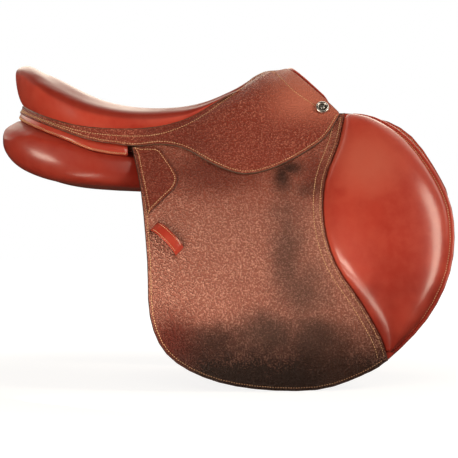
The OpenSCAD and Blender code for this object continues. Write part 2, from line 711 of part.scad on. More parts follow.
module panel_facing(left) {
    color(red_leather) side(left) sheet(strip_grid, facing_t);
}

// Under the flap

sweat_shape = [[15, -4], [12.5, -25], [9, -50], [7, -66], [10.5, -80], [21, -88.5], [37, -92], [55, -89.5],
    [71, -78.5], [83.5, -64.5], [92.5, -50], [96.4, -40], [96.2, -32], [91, -13.4], [81.4, -4], [68, -4]];
sweat_path = sized(smooth(sweat_shape, 3), flap_w, flap_l);

module sweat_flap(left) {
    color(dark_leather) side(left) at_fold() leather(sweat_in, sweat_out, sweat_path);
}

// A pocket on the sweat flap takes the tip of each tree point.
pocket_margin = 8;
pocket_u0 = head_u - head_w/2 - pocket_margin;
pocket_u1 = head_u + head_w/2 + pocket_margin;
pocket_room = 2.2;
pocket_corner = 12;
pocket_h0 = -point_l - pocket_margin;
pocket_h1 = -point_l*0.68;
module point_pocket(left) {
    foot = -point_l - pocket_room;
    face = point_out + 2*ply_gap;
    corner = pocket_h0 + pocket_corner;
    outer = [[pocket_u0, pocket_h1], [pocket_u0, corner], [pocket_u0 + pocket_corner, pocket_h0],
        [pocket_u1 - pocket_corner, pocket_h0], [pocket_u1, corner], [pocket_u1, pocket_h1]];
    inner = rectangle(head_u - head_w/2, head_u + head_w/2, foot, pocket_h1 + 1);
    color(dark_leather) side(left) at_fold() difference() {
        leather(sweat_out + ply_gap, face + pocket_t, outer);
        leather(sweat_out, face, inner);
    }
}

// Three girth straps hang side by side, slanted so that they hang upright.
strap_u = 162;
strap_h = -10;
strap_slant = 11;
strap_tip = 10;
function strap_place(k) = strap_u + (k - 1)*strap_pitch;
function slanted(p) =
    [strap_u + (p.x - strap_u)*cos(strap_slant) + (p.y - strap_h)*sin(strap_slant),
     strap_h - (p.x - strap_u)*sin(strap_slant) + (p.y - strap_h)*cos(strap_slant)];
function strap_path(k) = [for (p = [[-0.5, 0], [0.5, 0], [0.5, 1], [0.25, 2], [-0.25, 2], [-0.5, 1]])
    slanted([strap_place(k) + p.x*strap_w,
        strap_h - (p.y == 0 ? 0 : p.y == 1 ? strap_l - strap_tip : strap_l)])];

module girth_straps(left) {
    color(dark_leather) side(left) at_fold() for (k = [0:2]) difference() {
        leather(strap_in, strap_out, strap_path(k));
        for (i = [0:strap_holes - 1]) {
            at = slanted([strap_place(k), strap_h - strap_l + hole_start + i*hole_pitch]);
            on_face(at.x, at.y) translate([0, -strap_in + 1, 0]) rotate([90, 0, 0])
                cylinder(d = hole_d, h = strap_t + 2);
        }
    }
}

// The buckle guard lies over the straps, with a loop behind each.
guard_h = strap_h - 34;
loop_h = 16;
loop_down = 14;
loop_side = 2.4;
strap_room = 0.5;
function box_path(u0, u1, h0, h1) = [for (p = rectangle(u0, u1, h0, h1)) slanted(p)];
module buckle_guard(left) {
    loop_top = guard_h - loop_down;
    plate = box_path(strap_u - guard_w/2, strap_u + guard_w/2, guard_h - guard_l, guard_h);
    color(dark_leather) side(left) at_fold() {
        leather(guard_in, guard_out, plate);
        for (k = [0:2]) difference() {
            leather(guard_back, guard_in + guard_t/2, box_path(strap_place(k) - strap_w/2 - loop_side,
                strap_place(k) + strap_w/2 + loop_side, loop_top - loop_h, loop_top));
            leather(guard_back + guard_t, guard_in, box_path(strap_place(k) - strap_w/2 - strap_room,
                strap_place(k) + strap_w/2 + strap_room, loop_top - loop_h - 1, loop_top + 1));
        }
    }
}

// The girth web laps over the tops of the straps, and runs up to the edge of the tree's rail.
girth_web_w = 92;
web_lap = 14;
rail_gap = 0.4;
web_top_rows = [2.7, 3.8, 4.9];
function web_foot(k, down) =
    let (p = slanted([strap_u + (1 - k)*girth_web_w/2, strap_h - down]))
    from_fold(on_sweep(p.x, p.y, web_out));
function web_head(k) =
    let (row = row_at(web_top_rows[k]))
    deck_point(row, deck_edge(row), -deck_t/2) + (girth_web_t + rail_gap)*outward(row);
girth_web_grid = [for (k = [0:2])
    [web_head(k), mix(web_head(k), web_foot(k, 0), 0.5), web_foot(k, 0), web_foot(k, web_lap)]];

module girth_web(left) {
    color(webbing) side(left) sheet(girth_web_grid, girth_web_t);
}

// Stirrup bars: a plate on the tree point, an elbow, and a bar that is open to the rear
bar_plate_l = 124;
bar_plate_w = 20;
elbow_l = 12;
fork_l = 15;
fork_pin = 6;
fork_t = 2.4;
catch_t = 1.8;
rivet_xs = [102, 116];
module bar_slab(x0, x1, inner, outer, w) {
    translate([x0, -outer, -w/2]) cube([x1 - x0, outer - inner, w]);
}

module stirrup_bar(left) {
    pin_y = -(bar_in + bar_out)/2;
    color(steel) side(left) at_fold() on_face(bar_u, bar_h) difference() {
        union() {
            bar_slab(fork_l, bar_plate_l - bar_plate_w/2, bar_plate_in, bar_plate_out, bar_plate_w);
            translate([bar_plate_l - bar_plate_w/2, -bar_plate_in, 0]) rotate([90, 0, 0])
                cylinder(d = bar_plate_w, h = bar_plate_t);
            bar_slab(bar_l - elbow_l, bar_l, bar_plate_out, bar_out, bar_w);
            bar_slab(bar_w/2, bar_l, bar_in, bar_out, bar_w);
            translate([bar_w/2, -bar_in, 0]) rotate([90, 0, 0]) cylinder(d = bar_w, h = bar_t);
        }
        translate([-1, pin_y - fork_t/2, -bar_w]) cube([fork_l + 1, fork_t, 2*bar_w]);
        translate([fork_pin, -bar_in + 1, 0]) rotate([90, 0, 0]) cylinder(d = pin_d + pin_fit, h = bar_t + 2);
        for (x = rivet_xs) translate([x, -bar_plate_in + 1, 0]) rotate([90, 0, 0])
            cylinder(d = rivet_d + pin_fit, h = bar_plate_t + 2);
    }
}

module bar_rivets(left) {
    head_h = 1.6;
    color(steel) side(left) at_fold() on_face(bar_u, bar_h)
        for (x = rivet_xs) translate([x, -bar_plate_in, 0]) rotate([90, 0, 0]) {
            cylinder(d = rivet_d, h = bar_plate_t + ply_gap);
            translate([0, 0, bar_plate_t + ply_gap/2]) cylinder(d1 = rivet_d*1.5, d2 = rivet_d, h = head_h);
        }
}

module catch_pin(left) {
    color(steel) side(left) at_fold() on_face(bar_u, bar_h)
        translate([fork_pin, -bar_in, 0]) rotate([90, 0, 0]) cylinder(d = pin_d, h = bar_t);
}

module bar_catch(left) {
    mid = (bar_in + bar_out)/2;
    eye = bar_w/2 - 1.5;
    color(steel) side(left) at_fold() on_face(bar_u, bar_h)
        translate([fork_pin, -mid + catch_t/2, 0]) rotate([90, 0, 0]) difference() {
            union() {
                cylinder(r = eye, h = catch_t);
                translate([-catch_l + eye, -eye, 0]) cube([catch_l - eye, 2*eye, catch_t]);
                translate([-catch_l + eye, 0, 0]) cylinder(r = eye, h = catch_t);
            }
            translate([0, 0, -1]) cylinder(d = pin_d + pin_fit, h = catch_t + 2);
        }
}

// Metal studs on the skirts at the pommel, each with a socket
stud_row = 0.78;
stud_down = 0.895;
stud_lift = 0.5;
function on_skirt(row, down) =
    let (i = floor(row)) mix(skirt_point(i, down), skirt_point(i + 1, down), row - i);
stud_out = unit(cross(on_skirt(stud_row + 0.2, stud_down) - on_skirt(stud_row - 0.2, stud_down),
    on_skirt(stud_row, stud_down + 0.08) - on_skirt(stud_row, stud_down - 0.08)));
module stud(left) {
    turn = [0, acos(stud_out.z), atan2(stud_out.y, stud_out.x)];
    seat = on_skirt(stud_row, stud_down) + stud_lift*stud_out;
    color(steel) side(left) translate(seat) rotate(turn) difference() {
        union() {
            cylinder(d = stud_d, h = stud_h*0.5);
            cylinder(d = stud_d*0.82, h = stud_h);
        }
        translate([0, 0, stud_h*0.45]) cylinder(d = socket_d, h = stud_h);
    }
}

tree_deck();
tree_head();
head_plate();
gullet_lining();
seat_web();
seat_foam();
seat_cover();
seat_welt();
pommel_roll();
pommel_facing();
skirt(false);  // right_skirt
skirt(true);  // left_skirt
stud(false);  // right_stud
stud(true);  // left_stud
panel(false);  // right_panel
panel(true);  // left_panel
panel_facing(false);  // right_panel_facing
panel_facing(true);  // left_panel_facing
sweat_flap(false);  // right_sweat_flap
sweat_flap(true);  // left_sweat_flap
point_pocket(false);  // right_point_pocket
point_pocket(true);  // left_point_pocket
girth_web(false);  // right_girth_web
girth_web(true);  // left_girth_web
stirrup_bar(false);  // right_stirrup_bar
stirrup_bar(true);  // left_stirrup_bar
bar_rivets(false);  // right_bar_rivets
bar_rivets(true);  // left_bar_rivets
catch_pin(false);  // right_catch_pin
catch_pin(true);  // left_catch_pin
bar_catch(false);  // right_bar_catch
bar_catch(true);  // left_bar_catch
flap(false);  // right_flap
flap(true);  // left_flap
grip(false);  // right_grip_leather
grip(true);  // left_grip_leather
block(false);  // right_block
block(true);  // left_block
patch(false);  // right_patch
patch(true);  // left_patch
keeper(false);  // right_keeper
keeper(true);  // left_keeper
skirt_lobe(false);  // right_skirt_lobe
skirt_lobe(true);  // left_skirt_lobe
girth_straps(false);  // right_girth_straps
girth_straps(true);  // left_girth_straps
buckle_guard(false);  // right_buckle_guard
buckle_guard(true);  // left_buckle_guard
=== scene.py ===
"""Jumping saddle: leather, stuffing, stitching and metal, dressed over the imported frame."""
import json
import math

import bmesh
import bpy
import numpy as np
from mathutils import Matrix, Vector
from mathutils.bvhtree import BVHTree
from mathutils.geometry import delaunay_2d_cdt
from mathutils.kdtree import KDTree


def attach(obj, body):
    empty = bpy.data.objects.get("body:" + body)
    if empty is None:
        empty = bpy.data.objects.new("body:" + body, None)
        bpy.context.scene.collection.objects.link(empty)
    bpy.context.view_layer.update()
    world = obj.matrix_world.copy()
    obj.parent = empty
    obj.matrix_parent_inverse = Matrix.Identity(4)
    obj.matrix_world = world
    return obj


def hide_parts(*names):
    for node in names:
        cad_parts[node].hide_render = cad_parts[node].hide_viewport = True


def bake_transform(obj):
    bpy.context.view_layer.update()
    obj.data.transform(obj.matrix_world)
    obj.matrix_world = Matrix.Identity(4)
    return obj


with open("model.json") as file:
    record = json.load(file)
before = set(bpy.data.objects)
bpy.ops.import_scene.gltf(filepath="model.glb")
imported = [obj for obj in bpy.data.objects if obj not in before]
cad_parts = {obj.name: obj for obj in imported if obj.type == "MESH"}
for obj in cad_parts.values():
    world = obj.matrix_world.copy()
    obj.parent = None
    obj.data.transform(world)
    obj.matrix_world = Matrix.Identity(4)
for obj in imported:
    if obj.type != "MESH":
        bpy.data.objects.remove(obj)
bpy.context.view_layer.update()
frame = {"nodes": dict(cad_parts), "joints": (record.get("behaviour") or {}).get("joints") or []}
nodes = frame["nodes"]
MM = 0.001

# Camera, in metres, and the photograph's size in pixels

CAMERA_AT = (0.095, -2.4, -0.065)
PIXELS = 458
PIXEL_SIZE = 0.00145


def set_camera():
    """A level camera on the saddle's right, whose picture spans the photograph's width in the mid plane."""
    data = bpy.data.cameras.new("camera")
    data.angle = 2*math.atan(0.5*PIXELS*PIXEL_SIZE/-CAMERA_AT[1])
    camera = bpy.data.objects.new("camera", data)
    camera.location = CAMERA_AT
    camera.rotation_euler = (math.pi/2, 0, 0)
    bpy.context.scene.collection.objects.link(camera)
    bpy.context.scene.camera = camera


# Shaders


class Wire:
    """A shader value. Arithmetic on it adds Math nodes."""

    def __init__(self, shader, socket):
        self.shader = shader
        self.socket = socket

    def math(self, operation, *values):
        return self.shader.add("ShaderNodeMath", {"operation": operation}, dict(enumerate(values)))

    def __add__(self, other):
        return self.math("ADD", self, other)

    __radd__ = __add__

    def __sub__(self, other):
        return self.math("SUBTRACT", self, other)

    def __rsub__(self, other):
        return self.math("SUBTRACT", other, self)

    def __mul__(self, other):
        return self.math("MULTIPLY", self, other)

    __rmul__ = __mul__

    def __truediv__(self, other):
        return self.math("DIVIDE", self, other)

    def __rtruediv__(self, other):
        return self.math("DIVIDE", other, self)

    def __pow__(self, other):
        return self.math("POWER", self, other)

    def __rpow__(self, other):
        return self.math("POWER", other, self)

    def most(self, other):
        return self.math("MAXIMUM", self, other)

    def rise(self, low, high):
        """0 below low, 1 above high, and a smooth step between them."""
        return self.shader.add("ShaderNodeMapRange", {"interpolation_type": "SMOOTHSTEP"},
                               {"Value": self, "From Min": low, "From Max": high})

    def fall(self, low, high):
        return 1 - self.rise(low, high)


class Shader:
    """A node tree under construction, for a material or the world."""

    def __init__(self, owner):
        owner.use_nodes = True
        self.owner = owner
        self.tree = owner.node_tree
        self.tree.nodes.clear()

    def add(self, kind, settings=None, inputs=None, output=0):
        node = self.tree.nodes.new(kind)
        for name, value in (settings or {}).items():
            setattr(node, name, value)
        for name, value in (inputs or {}).items():
            if isinstance(value, Wire):
                self.tree.links.new(value.socket, node.inputs[name])
            else:
                node.inputs[name].default_value = value
        return Wire(self, node.outputs[output])

    def place(self):
        return self.add("ShaderNodeTexCoord", output="Object")

    def stretched(self, vector, scale):
        return self.add("ShaderNodeVectorMath", {"operation": "MULTIPLY"}, {0: vector, 1: scale})

    def noise(self, vector, scale, detail=2, rough=0.5, warp=0):
        return self.add("ShaderNodeTexNoise", {}, {"Vector": vector, "Scale": scale, "Detail": detail,
                                                   "Roughness": rough, "Distortion": warp})

    def cells(self, vector, scale, feature="F1"):
        inputs = {"Vector": vector, "Scale": scale}
        return self.add("ShaderNodeTexVoronoi", {"feature": feature}, inputs, "Distance")

    def tint(self, share, a, b):
        """From the colour a to the colour b by a share."""
        return self.add("ShaderNodeMix", {"data_type": "RGBA"}, {0: share, 6: a, 7: b}, 2)

    def bump(self, height, strength, depth, normal=None):
        inputs = {"Height": height, "Strength": strength, "Distance": depth}
        if normal:
            inputs["Normal"] = normal
        return self.add("ShaderNodeBump", {}, inputs)

    def axes(self, vector):
        node = self.add("ShaderNodeSeparateXYZ", {}, {"Vector": vector}).socket.node
        return [Wire(self, out) for out in node.outputs]

    def finish(self, color, roughness, normal=None, metallic=0.0, coat=0.0, coat_roughness=0.2, specular=0.5):
        inputs = {"Base Color": color, "Roughness": roughness, "Metallic": metallic, "Coat Weight": coat,
                  "Coat Roughness": coat_roughness, "Specular IOR Level": specular}
        if normal:
            inputs["Normal"] = normal
        surface = self.add("ShaderNodeBsdfPrincipled", {}, inputs)
        self.add_output("ShaderNodeOutputMaterial", surface)
        return self.owner

    def add_output(self, kind, surface):
        node = self.tree.nodes.new(kind)
        self.tree.links.new(surface.socket, node.inputs["Surface"])


def shade(name):
    return Shader(bpy.data.materials.new(name))


def rgb(red, green, blue):
    return (red, green, blue, 1)


def make_red_leather(name="red_leather", seat=False, painted_shade=0.0):
    """Smooth polished chestnut hide, mottled by its dye, with a painted sheen high on the knee block and
    painted shade towards the bottom. A panel's leather gets painted shade all over, deeper towards its front.
    A seat is polished on top and dull at its sides, and painted shade darkens its upward-facing parts.
    """
    s = shade(name)
    p = s.place()
    x, _, z = s.axes(p)
    cloud = s.noise(p, 9, 3, 0.55).rise(0.36, 0.66)
    mottle = s.noise(p, 60, 4, 0.6).rise(0.32, 0.7)
    color = s.tint(cloud, rgb(0.34, 0.029, 0.016), rgb(0.43, 0.048, 0.027))
    color = s.tint(mottle*0.3, color, rgb(0.47, 0.078, 0.046))
    # Painted sheen: a broad pale patch high on the knee block stands in for a soft reflection
    knee = (((x - 0.285)/0.06)**2 + ((z - 0.025)/0.055)**2)**0.5
    color = s.tint(0.45*knee.fall(0.2, 1.15), color, rgb(0.46, 0.125, 0.082))
    # Painted shade: the leather is darkened towards the bottom, where the light falls off
    painted_low_shade = (z + 0.05*cloud).fall(-0.20, -0.07)
    # Painted shade for the panel: darker all over, and more so towards its front next to the flap
    painted_shade_mask = painted_shade + 0.9*painted_shade*x.rise(-0.09, -0.03)
    color = s.tint((0.75*painted_low_shade).most(painted_shade_mask), color, rgb(0.155, 0.0080, 0.0040))
    pores = s.cells(p, 1150)
    creases = s.noise(s.stretched(p, (1, 1.6, 2.2)), 210, 3, 0.62, 0.6)
    normal = s.bump(pores.rise(0.05, 0.55), 0.05, 0.0004)
    normal = s.bump(creases, 0.07, 0.0006, normal)
    roughness = 0.42 + 0.08*mottle + 0.05*cloud
    coat = 0.85
    shine = 0.21
    up = s.axes(s.add("ShaderNodeNewGeometry", output="Normal"))[2]
    if painted_shade:
        coat = 0.10 + 0.75*up.fall(0.20, 0.55)
        shine = 0.25
    if seat:
        # Painted shade: the seat's upward-facing parts are darkened
        color = s.tint(0.6*up.rise(0.02, 0.30), color, rgb(0.140, 0.0110, 0.0060))
        coat = 0.03 + 0.90*up.rise(0.42, 0.82)*x.fall(-0.07, 0.02)
        shine = 0.36
    return s.finish(color, roughness, normal, coat=coat, coat_roughness=shine, specular=0.2)


# Pebbled hides: pebbles in a metre, their drift and height, and dyes from the creases up to the rubbed tops,
# then a painted glint on the highest crests

PEBBLE = 440
PEBBLE_DRIFT = 0.0011
PEBBLE_HEIGHT = 0.0019
SKIRT_DYES_AND_GLINT = [rgb(0.200, 0.032, 0.019), rgb(0.288, 0.056, 0.035),
              rgb(0.365, 0.092, 0.059), rgb(0.50, 0.190, 0.125)]
GRIP_DYES_AND_GLINT = [rgb(0.262, 0.090, 0.065), rgb(0.412, 0.166, 0.124),
             rgb(0.490, 0.224, 0.172), rgb(0.60, 0.320, 0.250)]


def pebbles(s, p, dyes_and_glint, depth=1.0):
    """Colour, roughness, normal and height of a pebbled hide, rubbed pale in patches, with a painted glint on
    its highest crests.
    """
    ground, body, worn, painted_glint = dyes_and_glint
    drift = s.add("ShaderNodeTexNoise", {}, {"Vector": p, "Scale": 240, "Detail": 1}, "Color")
    wander = {0: drift, 1: (PEBBLE_DRIFT,)*3, 2: p}
    bent = s.add("ShaderNodeVectorMath", {"operation": "MULTIPLY_ADD"}, wander)
    top = s.cells(bent, PEBBLE, "SMOOTH_F1").fall(0.16, 0.62)
    patchy = s.noise(p, 22, 4, 0.6).rise(0.34, 0.68)
    color = s.tint(top*depth + (1 - depth)*0.6, ground, body)
    color = s.tint(top*depth*(0.2 + 0.5*patchy), color, worn)
    # Painted glint: the highest crests of the pebbles are lightened as highlights
    color = s.tint(0.55*depth*top.rise(0.72, 0.98), color, painted_glint)
    normal = s.bump(top*depth, 1.0, PEBBLE_HEIGHT)
    normal = s.bump(s.cells(p, 1900).rise(0.1, 0.6), 0.06, 0.0003, normal)
    roughness = 0.50 - 0.08*top + 0.08*patchy
    return color, roughness, normal, top


def make_grained_leather():
    """Pebbled hide of the skirt and patch, smoother and redder where it is stretched over the pommel."""
    s = shade("grained_leather")
    p = s.place()
    x, _, z = s.axes(p)
    drawn = x.rise(0.12, 0.20)*z.rise(0.065, 0.115)
    color, roughness, normal, _ = pebbles(s, p, SKIRT_DYES_AND_GLINT, 1 - 0.7*drawn)
    color = s.tint(drawn*0.85, color, rgb(0.46, 0.140, 0.092))
    color = s.tint(0.42*x.rise(-0.045, -0.015)*x.fall(0.03, 0.12), color, rgb(0.090, 0.015, 0.010))
    return s.finish(color, roughness, normal, coat=0.18, coat_roughness=0.36, specular=0.2)


def make_grip_leather():
    """The flap's grained hide, salmon where boots have rubbed it and sooty where they have soiled it, and
    darker towards the bottom, partly from soil and partly as painted shade.
    """
    s = shade("grip_leather")
    p = s.place()
    color, roughness, normal, top = pebbles(s, p, GRIP_DYES_AND_GLINT)
    x, _, z = s.axes(p)
    ragged = s.noise(p, 34, 5, 0.66) - 0.5
    broad = s.noise(p, 10, 3, 0.55) - 0.5
    settled = 1 - 0.16*top

    def blot(at_x, at_z, wide, tall, spread=0.7):
        """A soft-edged stain, 1 in its middle."""
        across = (x - at_x)/wide
        down = (z - at_z)/tall
        reach = (across*across + down*down)**0.5 + ragged*spread + broad*spread
        return reach.fall(0.1, 1.05)

    def soil(color, share, dye):
        """Dye that has settled between the pebbles."""
        return s.tint(share*settled, color, dye)

    red = blot(0.012, -0.226, 0.095, 0.080, 0.35).most(0.7*blot(0.075, 0.015, 0.11, 0.045))
    red = red.most(0.6*blot(0.215, 0.01, 0.03, 0.05))
    color = soil(color, 0.7*(z + 0.03*broad).rise(-0.075, 0.02), rgb(0.235, 0.052, 0.031))
    color = soil(color, red*1.1, rgb(0.110, 0.016, 0.010))
    brown = blot(0.205, -0.13, 0.040, 0.13)
    color = soil(color, brown*0.2, rgb(0.165, 0.090, 0.066))
    soot = 0.8*blot(0.175, -0.110, 0.040, 0.150).most(blot(0.190, -0.150, 0.060, 0.065, 0.4))
    soot = soot.most(blot(0.150, -0.205, 0.075, 0.050, 0.4)).most(blot(0.205, -0.215, 0.060, 0.060, 0.4))
    color = soil(color, soot*0.95, rgb(0.072, 0.038, 0.030))
    smudge = blot(0.168, 0.008, 0.022, 0.036, 0.35).most(blot(0.179, 0.019, 0.030, 0.018, 0.4))
    smudge = smudge.most(0.5*blot(0.203, -0.010, 0.026, 0.018))
    smudge = smudge.most(0.9*blot(0.076, -0.212, 0.046, 0.036, 0.5))
    color = soil(color, smudge, rgb(0.036, 0.014, 0.010))
    # Darker towards the bottom of the flap: partly soil, partly painted shade where the light falls off
    low = (z + ragged*0.035 + broad*0.05).fall(-0.272, -0.165)*(x + ragged*0.08).rise(-0.05, 0.09)
    color = soil(color, low*1.2, rgb(0.0130, 0.0050, 0.0034))
    front = blot(0.245, -0.215, 0.07, 0.10)
    color = soil(color, front*0.3, rgb(0.070, 0.026, 0.017))
    return s.finish(color, roughness + 0.06*soot, normal, coat=0.10, coat_roughness=0.38, specular=0.2)


def make_dark_leather():
    """Oiled brown bridle leather for the pieces underneath."""
    s = shade("dark_leather")
    p = s.place()
    cloud = s.noise(p, 30, 4, 0.6).rise(0.3, 0.7)
    color = s.tint(cloud, rgb(0.085, 0.025, 0.013), rgb(0.150, 0.045, 0.024))
    pores = s.cells(p, 1000)
    normal = s.bump(pores.rise(0.05, 0.5), 0.14, 0.0004)
    return s.finish(color, 0.46 + 0.12*cloud, normal, coat=0.08)


def make_edge_dye(name, dark, light):
    """Burnished cut edges."""
    s = shade(name)
    p = s.place()
    streak = s.noise(s.stretched(p, (1, 1, 3)), 300, 3, 0.6).rise(0.3, 0.7)
    return s.finish(s.tint(streak, dark, light), 0.5 + 0.12*streak, s.bump(streak, 0.2, 0.0003), specular=0.3)


def make_piping():
    """Thin brown leather rolled over a cord."""
    s = shade("piping")
    p = s.place()
    rub = s.noise(p, 70, 4, 0.6).rise(0.35, 0.7)
    color = s.tint(rub, rgb(0.090, 0.026, 0.015), rgb(0.200, 0.062, 0.036))
    return s.finish(color, 0.44 + 0.1*rub, s.bump(s.cells(p, 900).rise(0.05, 0.5), 0.15, 0.0004), coat=0.1)


def make_suede():
    """The flesh side of a hide."""
    s = shade("flesh_side")
    p = s.place()
    nap = s.noise(p, 900, 4, 0.7)
    cloud = s.noise(p, 24, 3, 0.6).rise(0.3, 0.7)
    color = s.tint(cloud, rgb(0.16, 0.062, 0.035), rgb(0.23, 0.095, 0.056))
    return s.finish(color, 0.86, s.bump(nap, 0.35, 0.0005), specular=0.2)


def make_thread():
    """Waxed linen thread, two plies twisted, darker towards the bottom of the flap, partly from soil and
    partly as painted shade.
    """
    s = shade("thread")
    p = s.place()
    twist = s.add("ShaderNodeTexWave", {"bands_direction": "DIAGONAL"}, {"Vector": p, "Scale": 320})
    soil = s.noise(p, 45, 3, 0.6).rise(0.35, 0.7)
    z = s.axes(p)[2]
    color = s.tint(soil, rgb(0.66, 0.42, 0.23), rgb(0.50, 0.26, 0.135))
    # Partly painted shade: the thread darkens towards the bottom like the flap, the rest being soil
    color = s.tint(0.75*(z + 0.02*soil).fall(-0.25, -0.19), color, rgb(0.115, 0.048, 0.026))
    return s.finish(color, 0.6, s.bump(twist, 0.3, 0.0003))


def make_steel():
    """Brushed steel, a little clouded."""
    s = shade("steel")
    p = s.place()
    brush = s.noise(s.stretched(p, (1, 1, 8)), 420, 3, 0.6)
    cloud = s.noise(p, 70, 3, 0.6).rise(0.3, 0.7)
    color = s.tint(cloud, rgb(0.55, 0.54, 0.52), rgb(0.74, 0.73, 0.71))
    return s.finish(color, 0.22 + 0.16*brush, s.bump(brush, 0.05, 0.0002), metallic=1.0)


def make_tarnish():
    """The dull bottom of the stud's socket."""
    s = shade("tarnish")
    p = s.place()
    cloud = s.noise(p, 300, 3, 0.6).rise(0.3, 0.7)
    return s.finish(s.tint(cloud, rgb(0.030, 0.026, 0.020), rgb(0.090, 0.080, 0.064)), 0.5, metallic=0.6)


def make_beech():
    """Beech laminate with its grain and flecks."""
    s = shade("beech")
    p = s.place()
    rings = s.add("ShaderNodeTexWave", {"wave_type": "BANDS", "bands_direction": "Z"},
                  {"Vector": p, "Scale": 60, "Distortion": 5, "Detail": 3, "Detail Scale": 2})
    flecks = s.noise(s.stretched(p, (1, 8, 8)), 130, 3, 0.6).rise(0.5, 0.75)
    color = s.tint(rings, rgb(0.50, 0.30, 0.15), rgb(0.62, 0.41, 0.23))
    color = s.tint(flecks*0.5, color, rgb(0.36, 0.19, 0.09))
    return s.finish(color, 0.5 + 0.1*rings, s.bump(flecks, 0.15, 0.0004))


def make_webbing():
    """Woven jute web."""
    s = shade("webbing")
    p = s.place()
    yarn = {"Vector": p, "Scale": 190, "Distortion": 0.6}
    weft = s.add("ShaderNodeTexWave", {"bands_direction": "X"}, yarn)
    warp = s.add("ShaderNodeTexWave", {"bands_direction": "Y"}, yarn)
    weave = weft.most(warp)
    color = s.tint(weave, rgb(0.30, 0.22, 0.13), rgb(0.56, 0.45, 0.30))
    return s.finish(color, 0.85, s.bump(weave, 0.5, 0.0006), specular=0.2)


red_leather = make_red_leather()
seat_leather = make_red_leather("seat_leather", seat=True)
# The panels' leather carries painted shade
panel_leather = make_red_leather("panel_leather", painted_shade=0.38)
grained_leather = make_grained_leather()
grip_leather = make_grip_leather()
dark_leather = make_dark_leather()
edge_dye = make_edge_dye("edge_dye", rgb(0.030, 0.013, 0.009), rgb(0.075, 0.036, 0.025))
raw_edge = make_edge_dye("raw_edge", rgb(0.085, 0.045, 0.032), rgb(0.160, 0.092, 0.066))
piping = make_piping()
flesh_side = make_suede()
thread = make_thread()
steel = make_steel()
tarnish = make_tarnish()
beech = make_beech()
webbing = make_webbing()


# Stage: a white floor that keeps the shadow, a white world, and soft lamps

FLOOR_Z = -0.2812
FLOOR_REACH = 9
WARM = (1, 0.86, 0.70)


def seen_directly(s):
    """1 for a ray from the camera, also through glass."""
    camera = s.add("ShaderNodeLightPath", output="Is Camera Ray")
    return camera.most(s.add("ShaderNodeLightPath", output="Is Transmission Ray"))


def lay_floor():
    """White where it is seen, with the saddle's shadow on it, and dim to light and gloss."""
    s = shade("floor")
    p = s.place()
    dust = s.noise(p, 3, 2)
    x, y, _ = s.axes(p)
    far = (x*x + y*y)**0.5
    dusty = s.tint(dust, rgb(0.36, 0.33, 0.30), rgb(0.40, 0.37, 0.34))
    gloss = s.add("ShaderNodeLightPath", output="Is Glossy Ray")
    plain = s.add("ShaderNodeBsdfDiffuse", {}, {"Color": s.tint(gloss, dusty, rgb(0.09, 0.08, 0.07))})
    strength = 0.84 + 0.21*far.rise(0.3, 1.1)
    glow = s.add("ShaderNodeEmission", {}, {"Color": rgb(1, 1, 1), "Strength": strength})
    lit = s.add("ShaderNodeBsdfDiffuse", {}, {"Color": rgb(0.30, 0.30, 0.30)})
    white = s.add("ShaderNodeAddShader", {}, {0: glow, 1: lit})
    surface = s.add("ShaderNodeMixShader", {}, {0: seen_directly(s), 1: plain, 2: white})
    s.add_output("ShaderNodeOutputMaterial", surface)
    corners = [(a*FLOOR_REACH, b*FLOOR_REACH, FLOOR_Z) for a, b in ((-1, -1), (1, -1), (1, 1), (-1, 1))]
    floor = piece("floor", corners, [(0, 1, 2, 3)], [s.owner])


def light_world():
    """White where it is seen. To gloss it is a dim room with one warm bright wall high behind the saddle."""
    world = bpy.data.worlds.new("studio")
    bpy.context.scene.world = world
    s = Shader(world)
    _, y, z = s.axes(s.add("ShaderNodeTexCoord", output="Generated"))
    gloss = s.add("ShaderNodeLightPath", output="Is Glossy Ray")
    wall = y.rise(0.0, 0.4)*z.rise(0.10, 0.32)
    strength = 0.15 + gloss*(wall*1.6 - 0.10)
    room = s.add("ShaderNodeBackground", {}, {"Color": rgb(1, 0.90, 0.76), "Strength": strength})
    white = s.add("ShaderNodeBackground", {}, {"Color": rgb(1, 1, 1), "Strength": 1.0})
    surface = s.add("ShaderNodeMixShader", {}, {0: seen_directly(s), 1: room, 2: white})
    s.add_output("ShaderNodeOutputWorld", surface)


def hang_lamp(name, at, aim, size, power, gloss=True):
    """A warm soft box that looks at a place. Without gloss it leaves no shine."""
    data = bpy.data.lights.new(name, "AREA")
    data.shape = "RECTANGLE"
    data.size, data.size_y = size
    data.energy = power
    data.color = WARM
    lamp = bpy.data.objects.new(name, data)
    lamp.location = at
    lamp.rotation_euler = (Vector(aim) - Vector(at)).to_track_quat("-Z", "Y").to_euler()
    lamp.visible_glossy = gloss
    lamp.visible_camera = False
    bpy.context.scene.collection.objects.link(lamp)


def hang_lamps():
    hang_lamp("back", (0.05, 1.7, 1.15), (0.0, 0.0, 0.1), (2.2, 1.0), 12)
    hang_lamp("left", (-1.30, -1.65, -0.06), (0.0, -0.15, -0.05), (1.0, 0.5), 24)
    hang_lamp("right", (1.60, -0.80, 0.52), (0.3, -0.15, -0.05), (0.42, 1.4), 20)
    hang_lamp("low", (-0.02, -0.46, -0.262), (0.24, -0.18, -0.12), (0.40, 0.10), 1.0)
    hang_lamp("front", (-0.3, -2.4, 0.9), (0.1, -0.1, -0.05), (1.6, 0.8), 17, gloss=False)


# Meshes


def piece(name, points, faces, materials, kinds=None):
    """A smooth-shaded object. kinds gives each face's material."""
    mesh = bpy.data.meshes.new(name)
    mesh.from_pydata([tuple(p) for p in points], [], faces)
    return mesh_piece(name, mesh, materials, kinds)


